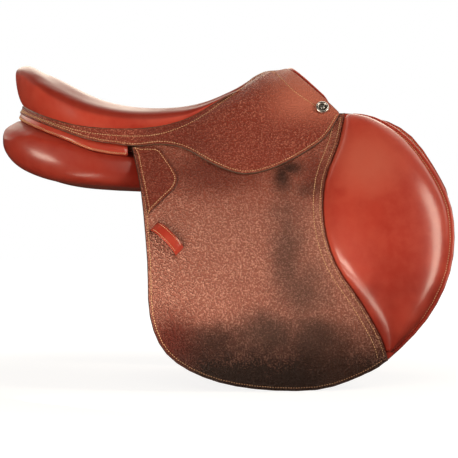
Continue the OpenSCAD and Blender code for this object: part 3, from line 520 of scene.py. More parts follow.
def mesh_piece(name, mesh, materials, kinds=None):
    for material in materials:
        mesh.materials.append(material)
    if kinds is not None:
        mesh.polygons.foreach_set("material_index", np.array(kinds, np.int32))
    mesh.polygons.foreach_set("use_smooth", np.ones(len(mesh.polygons), bool))
    mesh.update()
    obj = bpy.data.objects.new(name, mesh)
    bpy.context.scene.collection.objects.link(obj)
    return obj


WELD = 0.02*MM


def welded(node):
    """A CAD node's mesh with its points joined and its triangles paired into quads."""
    bm = bmesh.new()
    bm.from_mesh(nodes[node].data)
    bmesh.ops.remove_doubles(bm, verts=bm.verts, dist=WELD)
    bmesh.ops.join_triangles(bm, faces=bm.faces, angle_face_threshold=0.9, angle_shape_threshold=1.6)
    bm.verts.ensure_lookup_table()
    return bm


def object_of(name, bm, materials):
    mesh = bpy.data.meshes.new(name)
    bm.to_mesh(mesh)
    bm.free()
    return mesh_piece(name, mesh, materials)


def apply_modifiers(obj):
    """Makes what an object's modifiers give its own mesh."""
    bpy.context.view_layer.update()
    shaped = obj.evaluated_get(bpy.context.evaluated_depsgraph_get())
    mesh = bpy.data.meshes.new_from_object(shaped)
    obj.modifiers.clear()
    obj.data = mesh
    return obj


def subdivide(obj, levels):
    modifier = obj.modifiers.new("round", "SUBSURF")
    modifier.levels = modifier.render_levels = levels
    modifier.boundary_smooth = "PRESERVE_CORNERS"
    return apply_modifiers(obj)


SHARP = math.radians(55)
CREASE = 0.85


def smooth_copy(node, name, materials):
    """A rounded copy of a CAD node that keeps its sharp edges nearly sharp."""
    bm = welded(node)
    crease = bm.edges.layers.float.new("crease_edge")
    for edge in bm.edges:
        if edge.is_manifold and edge.calc_face_angle(0) > SHARP:
            edge[crease] = CREASE
    return subdivide(object_of(name, bm, materials), 2)


def points_of(obj):
    flat = np.empty(len(obj.data.vertices)*3)
    obj.data.vertices.foreach_get("co", flat)
    return flat.reshape(-1, 3)


def move_points(obj, places):
    obj.data.vertices.foreach_set("co", np.asarray(places, float).ravel())
    obj.data.update()


def surface_of(*objects):
    """The faces of some objects, to drop points on."""
    points, faces = [], []
    for obj in objects:
        start = len(points)
        points += [v.co.copy() for v in obj.data.vertices]
        faces += [tuple(start + i for i in f.vertices) for f in obj.data.polygons]
    return BVHTree.FromPolygons(points, faces)


def ease(value, low, high):
    """0 below low, 1 above high, and a smooth step between them."""
    t = np.clip((np.asarray(value, float) - low)/(high - low), 0, 1)
    return t*t*(3 - 2*t)


STUFF_PRESSURE = 3.0
STUFF_FRAMES = 20
STUFF_QUALITY = 6


def stuff(obj, held, most):
    """Swells a closed pad by cloth simulation. Held points stay, and none moves further than most."""
    before = points_of(obj)
    pins = obj.vertex_groups.new(name="sewn")
    pins.add([int(i) for i in np.flatnonzero(held)], 1.0, "REPLACE")
    cloth = obj.modifiers.new("stuffing", "CLOTH")
    cloth.settings.use_pressure = True
    cloth.settings.uniform_pressure_force = STUFF_PRESSURE
    cloth.settings.vertex_group_mass = "sewn"
    cloth.settings.quality = STUFF_QUALITY
    cloth.settings.effector_weights.gravity = 0
    cloth.collision_settings.use_collision = False
    scene = bpy.context.scene
    cloth.point_cache.frame_start = 1
    cloth.point_cache.frame_end = STUFF_FRAMES
    for number in range(1, STUFF_FRAMES + 1):
        scene.frame_set(number)
    apply_modifiers(obj)
    obj.vertex_groups.clear()
    scene.frame_set(1)
    moved = points_of(obj) - before
    far = np.linalg.norm(moved, axis=1, keepdims=True)
    move_points(obj, before + moved*np.minimum(1, most/np.maximum(far, 1e-9)))


# Sides: each right-hand piece is made once and copied to the left


def mirrored_name(name):
    return name.replace("right_", "left_")


def mirrored(obj):
    """A copy of a right-hand piece on the left."""
    mesh = obj.data.copy()
    mesh.transform(Matrix.Scale(-1, 4, (0, 1, 0)))
    mesh.flip_normals()
    other = bpy.data.objects.new(mirrored_name(obj.name), mesh)
    bpy.context.scene.collection.objects.link(other)
    return other


def fit(obj, body, stands_for=(), bend=None):
    """Gives a piece its body and hides the solids it stands for. Given a bend, it bakes the piece's place
    into its mesh instead of giving it its body, and the bend's bodies and places are not used.
    """
    if bend:
        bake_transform(obj)
    else:
        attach(obj, body)
    if stands_for:
        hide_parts(*stands_for)


def fit_both(obj, body, stands_for=(), bend=None):
    """Fits a right-hand piece and its copy on the left."""
    other = mirrored(obj)
    fit(obj, body, stands_for, bend)
    if bend:
        flip = [mirrored_name(b) if isinstance(b, str) else (b[0], -b[1], b[2]) for b in bend]
    else:
        flip = None
    fit(other, mirrored_name(body), [mirrored_name(n) for n in stands_for], flip)


# The flap's sweep


class Sweep:
    """Places on the right flap in mm: along its fold, up its leaning sweep, and out from its face."""

    radius = 670
    skirt_face = 6.4
    lean = math.radians(35)
    across = (radius + skirt_face)*math.cos(lean)
    up = -(radius + skirt_face)*math.sin(lean)

    def __init__(self, joint):
        along = -Vector(joint["axis"])
        toe = math.atan2(along.y, along.x)
        rise = math.asin(along.z)
        self.to_world = (Matrix.Translation(Vector(joint["pos_m"])) @ Matrix.Rotation(toe, 4, "Z")
                         @ Matrix.Rotation(-rise, 4, "Y") @ Matrix.Scale(MM, 4))
        self.to_fold = self.to_world.inverted()

    def point(self, u, h, out):
        tilt = math.asin((h - self.up)/self.radius)
        reach = self.radius + out
        return self.to_world @ Vector((u, self.across - reach*math.cos(tilt), self.up + reach*math.sin(tilt)))

    def place(self, point):
        p = self.to_fold @ Vector(point)
        reach = math.hypot(self.across - p.y, p.z - self.up)
        return p.x, self.up + self.radius*(p.z - self.up)/reach, reach - self.radius

    def outward(self, u, h):
        return (self.point(u, h, 1) - self.point(u, h, 0)).normalized()


sweep = Sweep(next(j for j in frame["joints"] if j["name"] == "right_flap_lift"))


FACE_NEAR = 0.1


def face_loops(node, out):
    """The outline of a leather's face at a height off the flap, then its holes, as rows of (u, h)."""
    bm = welded(node)
    at = [sweep.place(v.co) for v in bm.verts]
    faces = [f for f in bm.faces if all(abs(at[v.index][2] - out) < FACE_NEAR for v in f.verts)]
    chosen = set(faces)
    follows = {}
    for face in faces:
        for loop in face.loops:
            if not any(f in chosen for f in loop.edge.link_faces if f is not face):
                follows[loop.vert.index] = loop.link_loop_next.vert.index
    bm.free()
    loops = []
    while follows:
        first, there = follows.popitem()
        ring = [first]
        while there != first:
            ring.append(there)
            there = follows.pop(there)
        loops.append(np.array([at[i][:2] for i in ring]))
    return sorted(loops, key=lambda ring: -np.ptp(ring[:, 0]))


SPLINE_PARTS = 12


def spline(points, step):
    """Evenly spaced points on a smooth open curve through the given ones, with both ends."""
    p = np.asarray(points, float)
    gaps = np.linalg.norm(np.diff(p, axis=0), axis=1)[:, None]
    slopes = np.diff(p, axis=0)/gaps
    inner = (slopes[:-1]*gaps[1:] + slopes[1:]*gaps[:-1])/(gaps[1:] + gaps[:-1])
    ways = np.vstack([1.5*slopes[:1] - 0.5*inner[:1], inner, 1.5*slopes[-1:] - 0.5*inner[-1:]])
    t = np.linspace(0, 1, SPLINE_PARTS, endpoint=False)[:, None]
    rows = []
    for a, b, way_a, way_b, gap in zip(p, p[1:], ways, ways[1:], gaps):
        rows.append((2*t**3 - 3*t**2 + 1)*a + (t**3 - 2*t**2 + t)*gap*way_a
                    + (3*t**2 - 2*t**3)*b + (t**3 - t**2)*gap*way_b)
    return evenly(np.vstack(rows + [p[-1:]]), step)


def evenly(points, step):
    """Evenly spaced points on an open line, with both ends."""
    far = np.concatenate([[0], np.cumsum(np.linalg.norm(np.diff(points, axis=0), axis=1))])
    count = max(2, int(round(far[-1]/step)) + 1)
    where = np.linspace(0, far[-1], count)
    return np.column_stack([np.interp(where, far, points[:, k]) for k in range(points.shape[1])])


# A corner's turn in degrees, the least gap of an outline's points in mm, and a seam's ease at a corner

CORNER = 38
POINT_GAP = 0.6
CORNER_EASE = 0.45


def turns(ring):
    """How far an outline turns at each of its points, in degrees."""
    into = ring - np.roll(ring, 1, axis=0)
    away = np.roll(ring, -1, axis=0) - ring
    return np.degrees(np.abs(np.angle((away[:, 0] + 1j*away[:, 1])/(into[:, 0] + 1j*into[:, 1]))))


def smooth_ring(ring, step):
    """A closed outline through the same points, evenly spaced, with its corners kept."""
    far = np.linalg.norm(np.roll(ring, -1, axis=0) - ring, axis=1)
    ring = ring[far > POINT_GAP]
    sharp = list(np.flatnonzero(turns(ring) > CORNER)) or [0]
    rows = []
    for first, last in zip(sharp, sharp[1:] + [sharp[0] + len(ring)]):
        run = ring[np.arange(first, last + 1) % len(ring)]
        rows.append(spline(run, step)[:-1] if len(run) > 2 else evenly(run, step)[:-1])
    return np.vstack(rows)


def inset(ring, depth):
    """The outline moved to its left, which is into the leather, and less so next to its corners."""
    away = np.roll(ring, -1, axis=0) - np.roll(ring, 1, axis=0)
    away /= np.linalg.norm(away, axis=1, keepdims=True)
    sharp = ring[turns(ring) > CORNER]
    if len(sharp):
        near = np.min(np.linalg.norm(ring[:, None] - sharp[None], axis=2), axis=1)
        depth = np.minimum(depth, CORNER_EASE*near)[:, None]
    return ring + depth*np.column_stack([-away[:, 1], away[:, 0]])


def inside(points, rings):
    """Which points lie in the outline and out of its holes."""
    odd = np.zeros(len(points), bool)
    for ring in rings:
        for a, b in zip(ring, np.roll(ring, -1, axis=0)):
            if a[1] != b[1]:
                crosses = (a[1] > points[:, 1]) != (b[1] > points[:, 1])
                odd ^= crosses & (points[:, 0] < a[0] + (points[:, 1] - a[1])*(b[0] - a[0])/(b[1] - a[1]))
    return odd


FILL_ROW = 0.87
FILL_CLEAR = 0.55


def fill_rings(rings, step):
    """Points spread inside an outline, and triangles over them and the rings' own points."""
    rim = np.vstack(rings)
    low, high = rim.min(axis=0), rim.max(axis=0)
    columns = np.arange(low[0], high[0], step)
    rows = np.arange(low[1], high[1], step*FILL_ROW)
    grid = np.array([(x + (k % 2)*step/2, y) for k, y in enumerate(rows) for x in columns])
    grid = grid[inside(grid, rings)]
    near = np.min(np.linalg.norm(grid[:, None] - rim[None], axis=2), axis=1)
    grid = grid[near > FILL_CLEAR*step]
    every = np.vstack([rim, grid])
    edges = []
    start = 0
    for ring in rings:
        n = len(ring)
        edges += [(start + i, start + (i + 1) % n) for i in range(n)]
        start += n
    made = delaunay_2d_cdt([Vector(p) for p in every], edges, [], 0, 1e-6)
    source = [origin[0] for origin in made[3]]
    faces = [tuple(source[i] for i in face) for face in made[2]]
    middles = np.array([every[list(face)].mean(axis=0) for face in faces])
    keep = inside(middles, rings)
    return grid, [face for face, held in zip(faces, keep) if held]


EDGE_STEP = 3.0
FILL_STEP = 8.0
EDGE_SOFT = 0.9
EDGE_SHARE = 0.35
EDGE_LAND = 1.2


def cut_leather(name, rings, low, high, materials):
    """A leather cut to an outline on the flap's sweep, between two heights, with rounded edges."""
    soft = min(EDGE_SOFT, EDGE_SHARE*(high - low))
    profile = [(soft + EDGE_LAND, high), (soft, high), (soft*0.3, high - soft*0.3), (0, high - soft),
               (0, low + soft*0.6), (soft*0.6, low)]
    rims = [[inset(ring, depth) for ring in rings] for depth, _ in profile]
    spread, faces = fill_rings(rims[0], FILL_STEP)
    count = sum(len(ring) for ring in rings)
    points = []
    for (_, out), rim in zip(profile, rims):
        points += [sweep.point(u, h, out) for u, h in np.vstack(rim)]
    top_at = len(points)
    points += [sweep.point(u, h, high) for u, h in spread]
    low_at = len(points)
    points += [sweep.point(u, h, low) for u, h in spread]
    foot = (len(profile) - 1)*count
    shell = [tuple(i if i < count else top_at + i - count for i in face) for face in faces]
    kinds = [0]*len(shell)
    for level in range(len(profile) - 1):
        start = level*count
        for ring in rings:
            n = len(ring)
            for i in range(n):
                a, b = start + i, start + (i + 1) % n
                shell.append((a, a + count, b + count, b))
                kinds.append(0 if level < 1 else 1)
            start += n
    under = [tuple(foot + i if i < count else low_at + i - count for i in reversed(face)) for face in faces]
    return piece(name, points, shell + under, materials, kinds + [2]*len(under))


# Stitching. Each ring of a stitch has its place along it, its size and its lift.

STITCH_PITCH = 3.5*MM
STITCH_LENGTH = 2.7*MM
THREAD_WIDTH = 1.15*MM
STITCH_RINGS = [(-0.5, 0.45, -0.35), (-0.3, 0.95, 0.12), (0.0, 1.0, 0.24), (0.3, 0.95, 0.12),
                (0.5, 0.45, -0.35)]
STITCH_SIDES = 6


def sew(name, rows, keep=None, pitch=STITCH_PITCH, length=STITCH_LENGTH, width=THREAD_WIDTH, slant=0.0):
    """Stitches along rows of (points, ways out). keep chooses the stitches by their middles."""
    points, faces = [], []
    for path, outs in rows:
        path, outs = np.asarray(path, float), np.asarray(outs, float)
        far = np.concatenate([[0], np.cumsum(np.linalg.norm(np.diff(path, axis=0), axis=1))])
        for where in np.arange(pitch/2, far[-1] - pitch/3, pitch):
            at = np.array([np.interp(where, far, path[:, k]) for k in range(3)])
            if keep and not keep(at):
                continue
            ahead = np.array([np.interp(min(where + pitch/2, far[-1]), far, path[:, k]) for k in range(3)])
            out = np.array([np.interp(where, far, outs[:, k]) for k in range(3)])
            add_stitch(points, faces, at, ahead - at, out, length, width, slant)
    return piece(name, points, faces, [thread])


def add_stitch(points, faces, at, along, out, length, width, slant):
    """One stitch: a thread that comes up out of the leather and goes down again."""
    out = out/np.linalg.norm(out)
    along = along - out*np.dot(along, out)
    along /= np.linalg.norm(along)
    across = np.cross(out, along)
    c, s = math.cos(slant), math.sin(slant)
    along, across = along*c + across*s, across*c - along*s
    start = len(points)
    for ahead, size, lift in STITCH_RINGS:
        for k in range(STITCH_SIDES):
            turn = 2*math.pi*k/STITCH_SIDES
            points.append(at + along*ahead*length + across*0.5*width*size*math.cos(turn)
                          + out*width*(lift + 0.4*size*math.sin(turn)))
    for ring in range(len(STITCH_RINGS) - 1):
        a = start + ring*STITCH_SIDES
        for k in range(STITCH_SIDES):
            j = (k + 1) % STITCH_SIDES
            faces.append((a + k, a + STITCH_SIDES + k, a + STITCH_SIDES + j, a + j))
    last = start + (len(STITCH_RINGS) - 1)*STITCH_SIDES
    faces.append(tuple(start + k for k in range(STITCH_SIDES)))
    faces.append(tuple(last + k for k in reversed(range(STITCH_SIDES))))


def row_on_flap(path, out):
    """A seam's row from places along and down the flap."""
    return [sweep.point(u, h, out) for u, h in path], [sweep.outward(u, h) for u, h in path]


def part_of(ring, start, end):
    """The run of an outline from the point nearest start, the way it turns, to the point nearest end."""
    first = int(np.argmin(np.linalg.norm(ring - np.array(start), axis=1)))
    last = int(np.argmin(np.linalg.norm(ring - np.array(end), axis=1)))
    if last <= first:
        last += len(ring)
    return ring[np.arange(first, last + 1) % len(ring)]


# Flap, in mm on the sweep. The corners are shares of its width and length.

FLAP_W = 436
FLAP_L = 364
FLAP_LOW, FLAP_FACE, GRIP_LOW, GRIP_FACE = -3.5, 0.0, 0.2, 2.2
PATCH_LOW, PATCH_FACE = 2.4, 4.2
GRIP_SEAMS = (4, 13)
REAR_SEAM = 4.2
PATCH_SEAM = 3.6
PATCH_STEP = 2.5
TOP_FRONT = (0.702*FLAP_W, -0.003*FLAP_L)
TOP_REAR = (0.002*FLAP_W, -0.003*FLAP_L)
LOW_FRONT = (0.649*FLAP_W, -0.94*FLAP_L)
KEEPER_AT = (21, -134)
KEEPER_TURN = math.radians(-55)
KEEPER_HALF = 22.5
KEEPER_WIDTH = 16
KEEPER_THICK = 2.4
KEEPER_SEAM = 2.4
KEEPER_CROWN = 0.25
KEEPER_STEP = 1.6
KEEPER_TRIM = 3
KEEPER_STITCH = {"pitch": 2.9*MM, "length": 2.2*MM, "width": 0.95*MM}
SLOT_LENGTH = 2.6
SLOT_SPARE = 0.7
SLOT_INSET = 0.4
SLOT_STEP = 1.4


def turned(at, angle, rows):
    """Points turned by an angle and moved to a place."""
    c, s = math.cos(angle), math.sin(angle)
    return np.array([(at[0] + c*x - s*y, at[1] + s*x + c*y) for x, y in rows])


def keeper_slots():
    """Two slits in the grip leather that take the ends of the keeper, as holes, so they turn clockwise."""
    rings = []
    for end in (-1, 1):
        x, wide, tall = end*(KEEPER_HALF - SLOT_INSET), SLOT_LENGTH/2, KEEPER_WIDTH/2 + SLOT_SPARE
        corners = [(x - wide, -tall), (x - wide, tall), (x + wide, tall), (x + wide, -tall)]
        rings.append(evenly(turned(KEEPER_AT, KEEPER_TURN, corners + corners[:1]), SLOT_STEP)[:-1])
    return rings


def make_flap():
    """The flap's base and grip leather. Gives the front edges of both, between which the block lies."""
    flap_rings = [smooth_ring(r, EDGE_STEP) for r in face_loops("right_flap", FLAP_FACE)]
    grip_rings = [smooth_ring(r, EDGE_STEP) for r in face_loops("right_grip_leather", GRIP_FACE)]
    flap = cut_leather("right_flap_base", flap_rings, FLAP_LOW, FLAP_FACE,
                       [red_leather, edge_dye, flesh_side])
    fit_both(flap, "right_flap", ["right_flap"])
    grip = cut_leather("right_flap_grip", grip_rings + keeper_slots(), GRIP_LOW, GRIP_FACE,
                       [grip_leather, edge_dye, edge_dye])
    fit_both(grip, "right_flap", ["right_grip_leather"])
    front = part_of(grip_rings[0], LOW_FRONT, TOP_FRONT)
    rear = part_of(grip_rings[0], TOP_REAR, LOW_FRONT)
    rows = [row_on_flap(offset_run(front, depth), GRIP_FACE) for depth in GRIP_SEAMS]
    rows += [row_on_flap(offset_run(rear, REAR_SEAM), GRIP_FACE)]
    border = part_of(flap_rings[0], LOW_FRONT, TOP_FRONT)
    fit_both(sew("right_grip_stitching", rows), "right_flap")
    return front, border


def offset_run(run, depth, trim=2):
    """An open run of an outline moved into the leather, without its last few points."""
    away = np.gradient(run, axis=0)
    away /= np.linalg.norm(away, axis=1, keepdims=True)
    return (run + depth*np.column_stack([-away[:, 1], away[:, 0]]))[trim:-trim]


def sew_round(name, ring, depth, face):
    """Stitches all round an outline, at a depth in from its edge."""
    line = inset(ring, depth)
    return sew(name, [row_on_flap(np.vstack([line, line[:1]]), face)])


def make_patch():
    """The bare corner patch at the flap's rear top, sewn all round."""
    rings = [smooth_ring(r, PATCH_STEP) for r in face_loops("right_patch", PATCH_FACE)]
    patch = cut_leather("right_corner_patch", rings, PATCH_LOW, PATCH_FACE,
                        [grained_leather, edge_dye, flesh_side])
    fit_both(patch, "right_flap", ["right_patch"])
    stitches = sew_round("right_patch_stitching", rings[0], PATCH_SEAM, PATCH_FACE)
    fit_both(stitches, "right_flap")


# Sides of the keeper's section that show its cut edge, and the strap's bow: place along it and height

KEEPER_EDGES = (0, 7, 8, 12)
KEEPER_PROFILE = [(-24.0, -0.9), (-22.6, 0.4), (-20.6, 2.9), (-16.5, 6.2), (-9.0, 8.9), (0.0, 9.6),
                  (9.0, 8.9), (16.5, 6.2), (20.6, 2.9), (22.6, 0.4), (24.0, -0.9)]


def make_keeper():
    """A strap that bows up off the flap between its two slits."""
    line = spline(KEEPER_PROFILE, KEEPER_STEP)
    slope = np.gradient(line, axis=0)
    slope /= np.linalg.norm(slope, axis=1, keepdims=True)
    half, thick = KEEPER_WIDTH/2, KEEPER_THICK
    section = [(-half, -0.9), (-half*0.985, -0.35), (-half*0.93, -0.05), (-half*0.6, 0.25), (0, 0.35),
               (half*0.6, 0.25), (half*0.93, -0.05), (half*0.985, -0.35), (half, -0.9),
               (half*0.96, -thick + 0.2), (half*0.5, -thick), (-half*0.5, -thick), (-half*0.96, -thick + 0.2)]
    points, faces, kinds = [], [], []
    for (x, z), (dx, dz) in zip(line, slope):
        for y, lift in section:
            u, h = turned(KEEPER_AT, KEEPER_TURN, [(x - dz*lift, y)])[0]
            points.append(sweep.point(u, h, GRIP_FACE + z + dx*lift))
    n = len(section)
    for i in range(len(line) - 1):
        for k in range(n):
            j = (k + 1) % n
            faces.append((i*n + n + k, i*n + n + j, i*n + j, i*n + k))
            kinds.append(1 if k in KEEPER_EDGES else 0)
    faces.append(tuple(reversed(range(n))))
    faces.append(tuple(range((len(line) - 1)*n, len(line)*n)))
    kinds += [1, 1]
    keeper = piece("right_keeper_strap", points, faces, [red_leather, edge_dye], kinds)
    fit_both(keeper, "right_flap", ["right_keeper"])
    inner = slice(KEEPER_TRIM, -KEEPER_TRIM)
    rows = [keeper_row(line[inner], slope[inner], y) for y in (-half + KEEPER_SEAM, half - KEEPER_SEAM)]
    stitches = sew("right_keeper_stitching", rows, **KEEPER_STITCH)
    fit_both(stitches, "right_flap")


def keeper_row(line, slope, y):
    """A seam's row over the keeper's bow, at a distance from its middle."""
    path, outs = [], []
    for (x, z), (dx, dz) in zip(line, slope):
        u, h = turned(KEEPER_AT, KEEPER_TURN, [(x - dz*KEEPER_CROWN, y)])[0]
        path.append(sweep.point(u, h, GRIP_FACE + z + dx*KEEPER_CROWN))
        ahead = turned((0, 0), KEEPER_TURN, [(-dz, 0)])[0]
        lean = (sweep.point(u + ahead[0], h + ahead[1], 0) - sweep.point(u, h, 0))/MM
        outs.append(dx*sweep.outward(u, h) + lean)
    return path, outs


# The stuffed block at the front of the flap. The pad's columns are shares of its width, those of the hem sewn
# down beside it have their height too.

BLOCK_HEIGHT = 22
BLOCK_BORDER = 8
BLOCK_GAP = 1.2
BLOCK_STEPS = 72
BLOCK_ENDS = (0.035, 0.97)
BLOCK_PAD = [0, 0.012, 0.03, 0.06, 0.10, 0.15, 0.21, 0.28, 0.36, 0.44, 0.52,
             0.60, 0.68, 0.75, 0.81, 0.87, 0.92, 0.955, 0.98, 1.0]
BLOCK_HEM = [(0.10, 1.2), (0.22, 1.1), (0.36, 2.0), (0.55, 2.5), (0.75, 2.2), (0.90, 1.3), (0.96, 0.5)]
BLOCK_COLUMNS = len(BLOCK_PAD) + len(BLOCK_HEM)
BLOCK_ALONG = (5, 0.7)
BLOCK_ACROSS = (2.6, 0.62)
BLOCK_EDGE_STEP = 1.0
BLOCK_SEAM = 1.4
BLOCK_SWELL = 3.5*MM
PAD_UNDER, HEM_UNDER = 0.4, 0.25
HEM_THREAD = 6.6
HEM_FACE = 1.25
HEM_TRIM = 8


def share_along(path, share):
    """The place at a share of a path's points."""
    where = share*(len(path) - 1)
    i = min(int(where), len(path) - 2)
    return path[i] + (path[i + 1] - path[i])*(where - i)


def swell(share, square, full):
    """A rounded rise and fall over a share from 0 to 1, flatter with square, fuller with a smaller full."""
    return max(0, 1 - abs(2*share - 1)**square)**full


def block_faces(count):
    """The block's top, underside and rims, each with its kind. Its underside's points start at count."""
    faces, kinds = [], []
    for i in range(BLOCK_STEPS - 1):
        for k in range(BLOCK_COLUMNS - 1):
            a, b = i*BLOCK_COLUMNS + k, (i + 1)*BLOCK_COLUMNS + k
            faces += [(a, a + 1, b + 1, b), (count + a, count + b, count + b + 1, count + a + 1)]
            kinds += [0, 1]
        for k in (0, BLOCK_COLUMNS - 1):
            a, b = i*BLOCK_COLUMNS + k, (i + 1)*BLOCK_COLUMNS + k
            rim = (a, b, count + b, count + a)
            faces.append(rim if k == 0 else rim[::-1])
            kinds.append(1)
    for i in (0, BLOCK_STEPS - 1):
        for k in range(BLOCK_COLUMNS - 1):
            a = i*BLOCK_COLUMNS + k
            rim = (a, count + a, count + a + 1, a + 1)
            faces.append(rim if i == 0 else rim[::-1])
            kinds.append(1)
    return faces, kinds


def make_block(grip_front, flap_border):
    """A padded leather that rises from the grip leather's edge and is sewn down along the flap's border."""
    inner = evenly(grip_front, BLOCK_EDGE_STEP)
    outer = evenly(flap_border, BLOCK_EDGE_STEP)
    tops, lows, sewn = [], [], []
    for share in np.linspace(*BLOCK_ENDS, BLOCK_STEPS):
        a, b = share_along(inner, share), share_along(outer, share)
        across = (b - a)/np.linalg.norm(b - a)
        start, end = a + BLOCK_GAP*across, b - BLOCK_BORDER*across
        ends = swell(share, *BLOCK_ALONG)
        for v in BLOCK_PAD:
            p = start + (end - start)*v
            tops.append((p, BLOCK_SEAM + (BLOCK_HEIGHT - BLOCK_SEAM)*swell(v, *BLOCK_ACROSS)*ends))
            lows.append((p, PAD_UNDER))
            sewn.append(v in (0, 1.0))
        for v, out in BLOCK_HEM:
            p = end + (b - end)*v
            tops.append((p, out))
            lows.append((p, HEM_UNDER))
            sewn.append(True)
    count = len(tops)
    points = [sweep.point(p[0], p[1], out) for p, out in tops + lows]
    held = np.array(sewn + [True]*count)
    held[:BLOCK_COLUMNS] = True
    held[count - BLOCK_COLUMNS:count] = True
    faces, kinds = block_faces(count)
    block = piece("right_knee_block", points, faces, [red_leather, edge_dye], kinds)
    stuff(block, held, BLOCK_SWELL)
    subdivide(block, 1)
    fit_both(block, "right_flap", ["right_block"])
    line = offset_run(flap_border, HEM_THREAD, HEM_TRIM)
    fit_both(sew("right_block_stitching", [row_on_flap(line, HEM_FACE)]), "right_flap")


# Seat. A pair of places is where something starts and where it is full: along the saddle, above the welt, or
# in from it.

SHOULDER_DROP = 0.14
SHOULDER_REAR = (-0.195, -0.15)
SHOULDER_FRONT = (0.02, 0.11)
SHOULDER_IN = (0.008, 0.042)
LIP_DROP = 3.5*MM
LIP_UP = (0.003, 0.03)
LIP_IN = (0.012, 0.02)
FRONT_TUCK = 4.0*MM
FRONT_SINK = 0.6
TUCK_FROM = (0.088, 0.115)
TUCK_IN = (0.014, 0.028)
EVENED_IN = (0.022, 0.05)
EVENED_ROUNDS = 40
WELT_TUCK = 4.5*MM
WELT_TUCK_FROM = (0.090, 0.125)
WELT_SHARE = 0.6
WELT_REACH = 3.2*MM


def shape_seat(seat, welt):
    """Lets the top of the seat fall away to the sides, and brings its lower lip down to the welt."""
    line = points_of(welt)
    plan = KDTree(len(line))
    for i, (x, y, _) in enumerate(line):
        plan.insert((x, y, 0), i)
    plan.balance()
    places = points_of(seat)
    inner = []
    for place in places:
        _, i, far = plan.find((place[0], place[1], 0))
        inner.append(ease(far, *EVENED_IN))
        high = place[2] - line[i, 2]
        along = ease(place[0], *SHOULDER_REAR)*(1 - ease(place[0], *SHOULDER_FRONT))
        place[2] -= high*SHOULDER_DROP*(along*(1 - ease(far, *SHOULDER_IN)))
        place[2] -= LIP_DROP*(1 - ease(high, *LIP_UP))*(1 - ease(far, *LIP_IN))
        tuck = FRONT_TUCK*ease(place[0], *TUCK_FROM)*(1 - ease(far, *TUCK_IN))
        place[1] -= np.sign(place[1])*tuck
        place[2] -= FRONT_SINK*tuck
    move_points(seat, places)
    relax(seat, np.array(inner), EVENED_ROUNDS)


def slim_tube(obj, share):
    """Thins a tube to a share of its thickness, about the middle of each of its rings."""
    places = points_of(obj)
    tree = KDTree(len(places))
    for i, place in enumerate(places):
        tree.insert(place, i)
    tree.balance()
    rings = [[near[0] for near in tree.find_range(place, WELT_REACH)] for place in places]
    middles = np.array([np.mean(ring, axis=0) for ring in rings])
    move_points(obj, middles + (places - middles)*share)


def make_seat():
    """The seat and its welt. Gives their surface, for the skirt to lie on."""
    seat = smooth_copy("seat_cover", "seat", [seat_leather])
    welt = smooth_copy("seat_welt", "seat_piping", [piping])
    shape_seat(seat, welt)
    slim_tube(welt, WELT_SHARE)
    places = points_of(welt)
    places[:, 2] -= WELT_TUCK*ease(places[:, 0], *WELT_TUCK_FROM)
    move_points(welt, places)
    fit(seat, "saddle", ["seat_cover", "seat_foam"])
    fit(welt, "saddle", ["seat_welt"])
    return surface_of(seat, welt)


# Skirt: one hide from the seat to the lobe's edge, cut in two at the fold

SKIRT_THICK = 3.6*MM
FOLD_BAND = 14
FACE_TURN = math.radians(48)
SKIRT_SEEN_FROM = Vector((0.1, -1.0, 0.4))
FOLD_MIDDLE = FLAP_W/3
LOBE_CORNER = -6
LOBE_STEP = 2.0


def outer_face(node, from_point):
    """The open face of a thin solid that looks at a point, as a bmesh."""
    bm = welded(node)
    bm.normal_update()
    first = min((f for f in bm.faces if f.normal.dot(from_point - f.calc_center_median()) > 0),
                key=lambda f: (f.calc_center_median() - from_point).length)
    found = {first}
    waiting = [first]
    while waiting:
        face = waiting.pop()
        for edge in face.edges:
            for other in edge.link_faces:
                if other not in found and face.normal.angle(other.normal) < FACE_TURN:
                    found.add(other)
                    waiting.append(other)
    bmesh.ops.delete(bm, geom=[f for f in bm.faces if f not in found], context="FACES")
    return bm


def lobe_foot():
    """The lobe's lower edge, as a function of the place along the fold, and its front end."""
    ring = smooth_ring(face_loops("right_skirt_lobe", Sweep.skirt_face)[0], LOBE_STEP)
    rear, front = ring[:, 0].min(), ring[:, 0].max()
    low = part_of(ring, (rear, LOBE_CORNER), (front, LOBE_CORNER))
    return lambda u: np.interp(u, low[:, 0], low[:, 1]), front


# The roll of the pommel, in mm, and how the skirt's front edge meets it

ROLL_PATH = [(182.5, 0, 166.5), (187.5, -17, 163), (204, -34.5, 147.5), (222, -46.5, 129.5),
             (240, -56, 112), (252, -61, 101.5)]
ROLL_STEP = 2.0
ROLL_FINE_STEP = 1.0
ROLL_RADIUS = 4
ROLL_CLEAR = 0.3
ROLL_TUCKED = Vector((-5.0, 4.0, -3.0))*MM
TUCKED_FROM = (0.104, 0.128)
POMMEL_TOP = Vector((178.9, -0.05, 168.9))*MM
FRONT_LEAN = 0.6
FRONT_GIVE = 0.4


def open_ring(bm):
    """The points round the open edge of a face, the way its faces turn."""
    follows = {}
    for face in bm.faces:
        for loop in face.loops:
            if loop.edge.is_boundary:
                follows[loop.vert] = loop.link_loop_next.vert
    ring = [next(iter(follows))]
    while follows[ring[-1]] is not ring[0]:
        ring.append(follows[ring[-1]])
    return ring


def edge_runs(bm):
    """The open edge of a face as rows of points, cut at its corners."""
    ring = open_ring(bm)
    corners = []
    for i, v in enumerate(ring):
        into = v.co - ring[i - 1].co
        away = ring[(i + 1) % len(ring)].co - v.co
        if into.angle(away) > math.radians(CORNER):
            corners.append(i)
    runs = []
    for first, last in zip(corners, corners[1:] + [corners[0] + len(ring)]):
        runs.append([ring[i % len(ring)] for i in range(first, last + 1)])
    return runs


